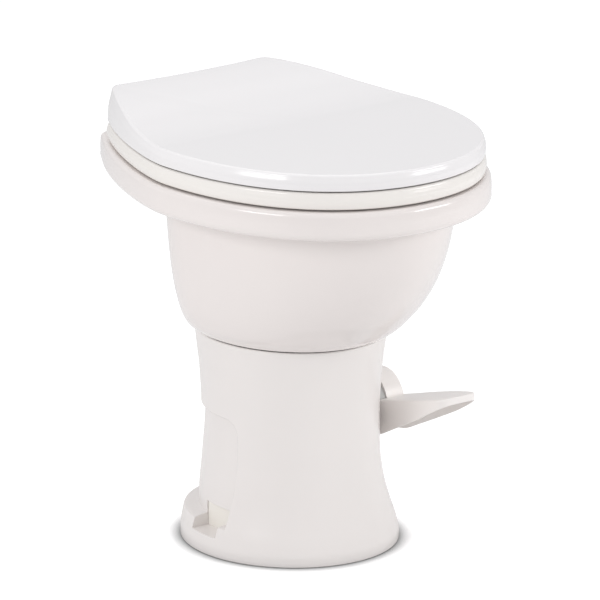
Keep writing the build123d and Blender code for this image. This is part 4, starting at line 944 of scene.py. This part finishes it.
lid_centre = (0.0, 0.02)
rings = []
for turn in lip_turns:
    rings.append(lid_ring(0.0, lid_bottom_round * (1 - math.sin(turn)) + lid_belly,
                          -lid_bottom_round * (1 - math.cos(turn))))
for i in range(1, 12):
    share = 0.08 + 0.74 * i / 12
    rings.append(lid_ring(share, lid_belly * (1 - math.sin(math.pi * i / 12))))
for turn in fine_turns:
    inset = lid_top_round * (1 - math.cos(turn)) + lid_belly
    rings.append(lid_ring(1.0, inset, lid_top_round * (1 - math.sin(turn))))
edge = rings[-1]
lid_top_shares = (0.99, 0.975, 0.95, 0.92, 0.88, 0.84, 0.78, 0.72, 0.66)
lid_top_shares += (0.6, 0.52, 0.44, 0.36, 0.28, 0.2, 0.12, 0.06)
for share in lid_top_shares:
    ring = []
    for x, y, z in edge:
        place = lid_centre[1] + share * (y - lid_centre[1])
        rise = z - lid_top(y)
        ring.append((x * share, place, lid_top(place) + rise * share))
    rings.append(ring)
outer_pole = (0.0, lid_centre[1], lid_top(lid_centre[1]))
under = [lid_ring(0.0, lid_wall)]
under.append(lid_ring(0.5, lid_wall, 0.0, lid_wall))
under.append(lid_ring(1.0, lid_wall, 0.002, lid_wall))
under.append(lid_ring(1.0, lid_wall + 0.002, 0.0, lid_wall))
edge = under[-1]
for share in (0.9, 0.75, 0.6, 0.45, 0.3, 0.15):
    under.append([
        (x * share, lid_centre[1] + share * (y - lid_centre[1]),
         lid_top(lid_centre[1] + share * (y - lid_centre[1])) - lid_wall) for x, y, z in edge
    ])
inner_pole = (0.0, lid_centre[1], lid_top(lid_centre[1]) - lid_wall)
lid = skin("lid_moulding", under[::-1] + rings, first_pole=inner_pole, last_pole=outer_pole)
arms = []
for side in (1, -1):
    low, high = sorted((side * lid_arm_inner, side * lid_arm_outer))
    outline = [(lid_arm_front, hinge_height - knuckle_radius)] + knuckle_arc(-math.pi / 2)
    outline.append((lid_arm_front, hinge_height + knuckle_radius))
    arms.append(prism("lid arm", outline, low, high, "x"))
combine(lid, together("lid arms", arms), "UNION")
fit_pads(lid, lid_bottom, [lid_top(y) - lid_wall / 2 for x, y in pad_places], lid_bore_reach)
finish_shade(lid)
lid_plastic = finish(
    "gloss lid plastic", (0.84, 0.822, 0.825), (0.825, 0.81, 0.812), (0.15, 0.19), 0.00002,
    coat=0.3, smear_scale=8.0, grain_scale=1300.0, ripple_scale=20.0, ripple_share=0.85,
)
dress(lid, lid_plastic)
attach(lid, "lid")
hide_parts("lid")

# Hinge and pads: two posts stand on the deck and carry a headed steel pin each, and push-on
# caps keep the pins in. Four soft pads under the seat and four under the lid are alike.
white_trim = finish(
    "gloss hinge plastic", (0.80, 0.785, 0.765), (0.775, 0.76, 0.745), (0.14, 0.24), 0.00001,
    grain_scale=1400.0, ripple_scale=60.0,
)
zinc_steel = finish(
    "zinc plated steel", (0.62, 0.62, 0.63), (0.50, 0.50, 0.50), (0.22, 0.42), 0.00002, 1.0,
    drift_scale=120.0, smear_scale=260.0, grain_scale=2200.0,
)
pale_rubber = finish(
    "pale pad rubber", (0.66, 0.66, 0.64), (0.60, 0.60, 0.58), (0.55, 0.75), 0.00004,
    drift_scale=60.0, grain_scale=1600.0,
)
for name in ("hinge_posts", "pin_caps"):
    dress(nodes[name], white_trim)
for name in ("hinge_pins", "hinge_bolts", "hinge_washers", "hinge_nuts"):
    dress(nodes[name], zinc_steel)


def repeat_tree(name):
    """A tree that puts a round head with rounded edges and a thinner shank on each point."""
    group = bpy.data.node_groups.new(name, "GeometryNodeTree")
    join = group.links.new
    group.interface.new_socket("Places", in_out="INPUT", socket_type="NodeSocketGeometry")
    sockets = {}
    for label, kind, value in (
        ("Head Radius", "NodeSocketFloat", 0.007), ("Head Height", "NodeSocketFloat", 0.003),
        ("Shank Radius", "NodeSocketFloat", 0.002), ("Shank Length", "NodeSocketFloat", 0.010),
        ("Edge Round", "NodeSocketFloat", 1.6), ("Turn", "NodeSocketVector", (0.0, 0.0, 0.0)),
    ):
        socket = group.interface.new_socket(label, in_out="INPUT", socket_type=kind)
        socket.default_value = value
        sockets[label] = socket.identifier
    sockets["Finish"] = group.interface.new_socket(
        "Finish", in_out="INPUT", socket_type="NodeSocketMaterial"
    ).identifier
    group.interface.new_socket("Pieces", in_out="OUTPUT", socket_type="NodeSocketGeometry")
    entry = group.nodes.new("NodeGroupInput")
    leave = group.nodes.new("NodeGroupOutput")

    def number(operation, first, second):
        """One step of arithmetic on two numbers, each a value or another node's output."""
        node = group.nodes.new("ShaderNodeMath")
        node.operation = operation
        for socket, value in zip(node.inputs, (first, second)):
            if isinstance(value, float):
                socket.default_value = value
            else:
                join(value, socket)
        return node.outputs["Value"]

    head = group.nodes.new("GeometryNodeMeshCylinder")
    head.inputs["Vertices"].default_value = 40
    head.inputs["Side Segments"].default_value = 8
    join(entry.outputs["Head Radius"], head.inputs["Radius"])
    join(entry.outputs["Head Height"], head.inputs["Depth"])
    # The rings near both ends of the head are drawn in, which rounds its edges
    place = group.nodes.new("GeometryNodeInputPosition")
    parts = group.nodes.new("ShaderNodeSeparateXYZ")
    join(place.outputs["Position"], parts.inputs["Vector"])
    level = number("DIVIDE", parts.outputs["Z"], entry.outputs["Head Height"])
    steep = number("POWER", number("ABSOLUTE", level, 0.0), 5.0)
    drawn = number("MULTIPLY", steep, entry.outputs["Edge Round"])
    share = number("SUBTRACT", 1.0, drawn)
    squeeze = group.nodes.new("ShaderNodeCombineXYZ")
    squeeze.inputs["Z"].default_value = 1.0
    join(share, squeeze.inputs["X"])
    join(share, squeeze.inputs["Y"])
    drawn_in = group.nodes.new("ShaderNodeVectorMath")
    drawn_in.operation = "MULTIPLY"
    join(place.outputs["Position"], drawn_in.inputs[0])
    join(squeeze.outputs["Vector"], drawn_in.inputs[1])
    rounded = group.nodes.new("GeometryNodeSetPosition")
    join(head.outputs["Mesh"], rounded.inputs["Geometry"])
    join(drawn_in.outputs["Vector"], rounded.inputs["Position"])
    shank = group.nodes.new("GeometryNodeMeshCylinder")
    shank.inputs["Vertices"].default_value = 24
    join(entry.outputs["Shank Radius"], shank.inputs["Radius"])
    join(entry.outputs["Shank Length"], shank.inputs["Depth"])
    drop = group.nodes.new("ShaderNodeCombineXYZ")
    join(number("MULTIPLY", entry.outputs["Shank Length"], -0.5), drop.inputs["Z"])
    lowered = group.nodes.new("GeometryNodeTransform")
    join(shank.outputs["Mesh"], lowered.inputs["Geometry"])
    join(drop.outputs["Vector"], lowered.inputs["Translation"])
    both = group.nodes.new("GeometryNodeJoinGeometry")
    join(rounded.outputs["Geometry"], both.inputs["Geometry"])
    join(lowered.outputs["Geometry"], both.inputs["Geometry"])
    turned = group.nodes.new("GeometryNodeTransform")
    join(both.outputs["Geometry"], turned.inputs["Geometry"])
    turn = group.nodes.new("FunctionNodeEulerToRotation")
    join(entry.outputs["Turn"], turn.inputs["Euler"])
    join(turn.outputs["Rotation"], turned.inputs["Rotation"])
    each = group.nodes.new("GeometryNodeInstanceOnPoints")
    join(entry.outputs["Places"], each.inputs["Points"])
    join(turned.outputs["Geometry"], each.inputs["Instance"])
    real = group.nodes.new("GeometryNodeRealizeInstances")
    join(each.outputs["Instances"], real.inputs["Geometry"])
    paint = group.nodes.new("GeometryNodeSetMaterial")
    join(real.outputs["Geometry"], paint.inputs["Geometry"])
    join(entry.outputs["Finish"], paint.inputs["Material"])
    join(paint.outputs["Geometry"], leave.inputs["Pieces"])
    return group, sockets


def repeated(name, places, material, values):
    """Run the tree on the given points and keep the result as a plain mesh."""
    group, sockets = round_headed
    points = bpy.data.meshes.new(name + "_places")
    points.from_pydata(places, [], [])
    piece = bpy.data.objects.new(name, points)
    scene.collection.objects.link(piece)
    step = piece.modifiers.new("repeat", "NODES")
    step.node_group = group
    for label, value in values.items():
        step[sockets[label]] = value
    step[sockets["Finish"]] = material
    seen = piece.evaluated_get(bpy.context.evaluated_depsgraph_get())
    mesh = bpy.data.meshes.new_from_object(seen)
    piece.modifiers.clear()
    piece.data = mesh
    finish_shade(piece)
    return piece


round_headed = repeat_tree("round headed piece")
pad_height = 0.0035
pad_radius = 0.007
seat_pad_bottom = 0.4347
lid_pad_bottom = 0.4557
for name, node, body, low in (
    ("pads_under_seat", "seat_bumpers", "seat", seat_pad_bottom),
    ("pads_under_lid", "lid_bumpers", "lid", lid_pad_bottom),
):
    pads = repeated(
        name, [(x, y, low + pad_height / 2) for x, y in pad_places], pale_rubber,
        {"Head Radius": pad_radius, "Head Height": pad_height, "Shank Radius": 0.004,
         "Shank Length": 0.0016, "Edge Round": 2.4},
    )
    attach(pads, body)
    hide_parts(node)

# Pedal: a round hub with the return spring inside it, and a hollow paddle moulded in one with
# it. The paddle has a straight inner edge, a flared outer edge and a rounded tip.
hub_radius = 0.0345
hub_wall = 0.0035
hub_start = 0.11067
hub_outer = 0.13617
hub_edge_round = 0.0030
pedal_inner = 0.09787
pedal_outer = 0.15837
pedal_reach = 0.145
pedal_wall = 0.0035
pedal_edge_round = 0.0026
pedal_straight = 0.112
pedal_shoulder = 0.105
pedal_round_start = 0.140
pedal_thinnest = 0.0035
pedal_top_offset = 0.002
cam_room_radius = 0.03594
cap_room_radius = 0.0113
cap_room_depth = 0.0065
bolt_bore_radius = 0.0033
shaft_socket_depth = 0.0100
shaft_socket_radius = 0.00705
shaft_boss_radius = 0.0145
cut_start = 0.09
pedal_slope = math.tan(math.radians(13.1))
pedal_middle = (pedal_inner + pedal_outer) / 2
pedal_spread = 0.34 * (pedal_outer - pedal_inner)


def reach_table(points, steps=80):
    """Places along the pedal and the distance across it, read off a Bezier curve."""
    return [bend(points, i / steps)[::-1] for i in range(steps + 1)]


def look_up(table, reach):
    """What a table of places along the pedal says at one reach: a distance across or a height."""
    for (near, a), (far, b) in zip(table, table[1:]):
        if near <= reach <= far:
            return a + (b - a) * (reach - near) / max(far - near, 1e-9)
    return table[-1][1] if reach > table[-1][0] else table[0][1]


inner_edge = [(0.0, pedal_inner), (pedal_straight, pedal_inner)] + reach_table([
    (pedal_inner, pedal_straight), (pedal_inner, pedal_round_start),
    (pedal_middle - pedal_spread, pedal_reach), (pedal_middle, pedal_reach),
])
outer_edge = [(0.0, hub_outer), (hub_radius / 2, hub_outer)] + reach_table([
    (hub_outer, hub_radius / 2), (hub_outer, 0.050), (pedal_outer, 0.060), (pedal_outer, pedal_shoulder),
]) + reach_table([
    (pedal_outer, pedal_shoulder), (pedal_outer, pedal_round_start),
    (pedal_middle + pedal_spread, pedal_reach), (pedal_middle, pedal_reach),
])
heel_line = [(0.0, 0.1015), (0.037, 0.106), (0.101, 0.1388), (0.160, 0.1733)]


def pedal_section(reach):
    """One crosswise section of the paddle: a channel with rounded upper corners, open below."""
    left = look_up(inner_edge, reach)
    right = look_up(outer_edge, reach)
    top = hub_height + pedal_top_offset + pedal_slope * reach
    low = min(look_up(heel_line, reach), top - pedal_thinnest)
    half = (right - left) / 2
    corner = min(pedal_edge_round, half * 0.9, (top - low) * 0.45)
    fade = eased((pedal_reach - 0.004 - reach) / 0.004)
    wall = min(pedal_wall, half * 0.5)
    ceiling = low + (top - pedal_wall - low) * fade
    turns = [math.pi / 2 * i / 6 for i in range(7)]
    points = [(left, low)]
    points += [(left + corner * (1 - math.cos(a)), top - corner * (1 - math.sin(a))) for a in turns]
    points += [(right - corner * (1 - math.sin(a)), top - corner * (1 - math.cos(a))) for a in turns]
    points.append((right, low))
    points.append((right - wall, low))
    points.append((right - wall, max(ceiling - 0.001, low)))
    points.append((right - wall - 0.001 * fade, ceiling))
    points.append((left + wall + 0.001 * fade, ceiling))
    points.append((left + wall, max(ceiling - 0.001, low)))
    points.append((left + wall, low))
    return [(x, -reach, z) for x, z in points]


reaches = [0.003 * i for i in range(43)] + [0.126 + 0.0015 * i for i in range(1, 11)]
reaches += [pedal_reach - 0.0035 * (1 - i / 10) ** 2 for i in range(1, 10)]
paddle = skin("pedal_moulding", [pedal_section(reach) for reach in sorted(reaches)], capped=True)
for radius, end in ((hub_radius - hub_wall, hub_outer - hub_wall), (cam_room_radius, hub_start)):
    room = prism("room in the hub", circle(radius, 0.0, hub_height, 96), cut_start, end, "x")
    combine(paddle, room, "DIFFERENCE")
hub_turns = [math.radians(15.0 * i) for i in range(7)]
hub_profile = [(hub_start, hub_radius)]
hub_profile += [
    (hub_outer - hub_edge_round * (1 - math.sin(a)), hub_radius - hub_edge_round * (1 - math.cos(a)))
    for a in hub_turns
]
hub_profile += [
    (hub_outer, 0.0125), (hub_outer - 0.0007, 0.0118), (hub_outer - cap_room_depth, cap_room_radius),
    (hub_outer - cap_room_depth, bolt_bore_radius), (hub_outer - shaft_socket_depth, bolt_bore_radius),
    (hub_outer - shaft_socket_depth, shaft_socket_radius), (hub_start, shaft_socket_radius),
    (hub_start, shaft_boss_radius), (hub_outer - hub_wall, shaft_boss_radius),
    (hub_outer - hub_wall, hub_radius - hub_wall), (hub_start, hub_radius - hub_wall),
]
hub_angles = [math.tau * i / 120 for i in range(120)]
rings = [
    [(x, radius * math.cos(a), hub_height + radius * math.sin(a)) for a in hub_angles]
    for x, radius in hub_profile
]
hub = skin("pedal hub", rings, loop=True)
combine(paddle, hub, "UNION")
finish_shade(paddle)
pedal_plastic = finish(
    "satin pedal plastic", (0.88, 0.845, 0.82), (0.87, 0.837, 0.812), (0.28, 0.32), 0.00001,
    grain_scale=900.0, ripple_scale=30.0, ripple_share=0.5,
)
dress(paddle, pedal_plastic)
dress(nodes["pedal_cap"], pedal_plastic)
dress(nodes["pedal_bolt"], zinc_steel)
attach(paddle, "flush")
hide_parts("pedal")

# Flush works inside the pedestal: a moulded chamber screwed to the foot plate, a curved blade
# on a steel shaft, rubber seals and the steel band that clamps the bowl down.
inner_plastic = finish(
    "natural inner plastic", (0.57, 0.57, 0.56), (0.52, 0.52, 0.51), (0.35, 0.50), 0.00005,
    drift_scale=20.0, grain_scale=700.0,
)
grey_plastic = finish(
    "grey moulded plastic", (0.50, 0.50, 0.49), (0.45, 0.45, 0.44), (0.40, 0.60), 0.00006,
    drift_scale=40.0, grain_scale=800.0,
)
black_rubber = finish(
    "black seal rubber", (0.010, 0.010, 0.010), (0.018, 0.018, 0.018), (0.50, 0.75), 0.00006,
    drift_scale=80.0, grain_scale=1200.0,
)
for name in ("flush_chamber", "flush_ball", "vacuum_breaker", "breaker_cap"):
    dress(nodes[name], inner_plastic)
for name in ("shaft_bushings", "spring_housing", "cam_ring", "valve_body", "valve_bonnet"):
    dress(nodes[name], grey_plastic)
for name in ("floor_seal", "ball_seal", "bowl_gasket", "shaft_ring", "plunger_disc", "spout_grommet"):
    dress(nodes[name], black_rubber)
for name in ("clamp_band", "clamp_screw", "clamp_nut", "return_spring", "valve_spring", "valve_screws",
             "valve_plunger", "drive_shaft", "idle_pin", "hose_clamps"):
    dress(nodes[name], zinc_steel)
dress(nodes["water_hose"], pale_rubber)
chamber_screw_circle = 0.0558
chamber_screw_height = 0.0153
screw_places = [
    (x, y, chamber_screw_height) for x, y in circle(chamber_screw_circle, 0.0, 0.0, 8)[1::2]
]
screws = repeated(
    "chamber_screw_set", screw_places, zinc_steel,
    {"Head Radius": 0.0038, "Head Height": 0.0026, "Shank Radius": 0.0019, "Shank Length": 0.0120},
)
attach(screws, "base")
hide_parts("chamber_screws")
housing_face = 0.09287
housing_screw_circle = 0.0275
housing_head = 0.0020
screw_places = [
    (housing_face + housing_head / 2, y, z)
    for y, z in circle(housing_screw_circle, 0.0, hub_height, 12)[3::4]
]
screws = repeated(
    "housing_screw_set", screw_places, zinc_steel,
    {"Head Radius": 0.0032, "Head Height": housing_head, "Shank Radius": 0.0018, "Shank Length": 0.0110,
     "Turn": (0.0, math.pi / 2, 0.0)},
)
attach(screws, "base")
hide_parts("housing_screws")

bpy.context.view_layer.update()
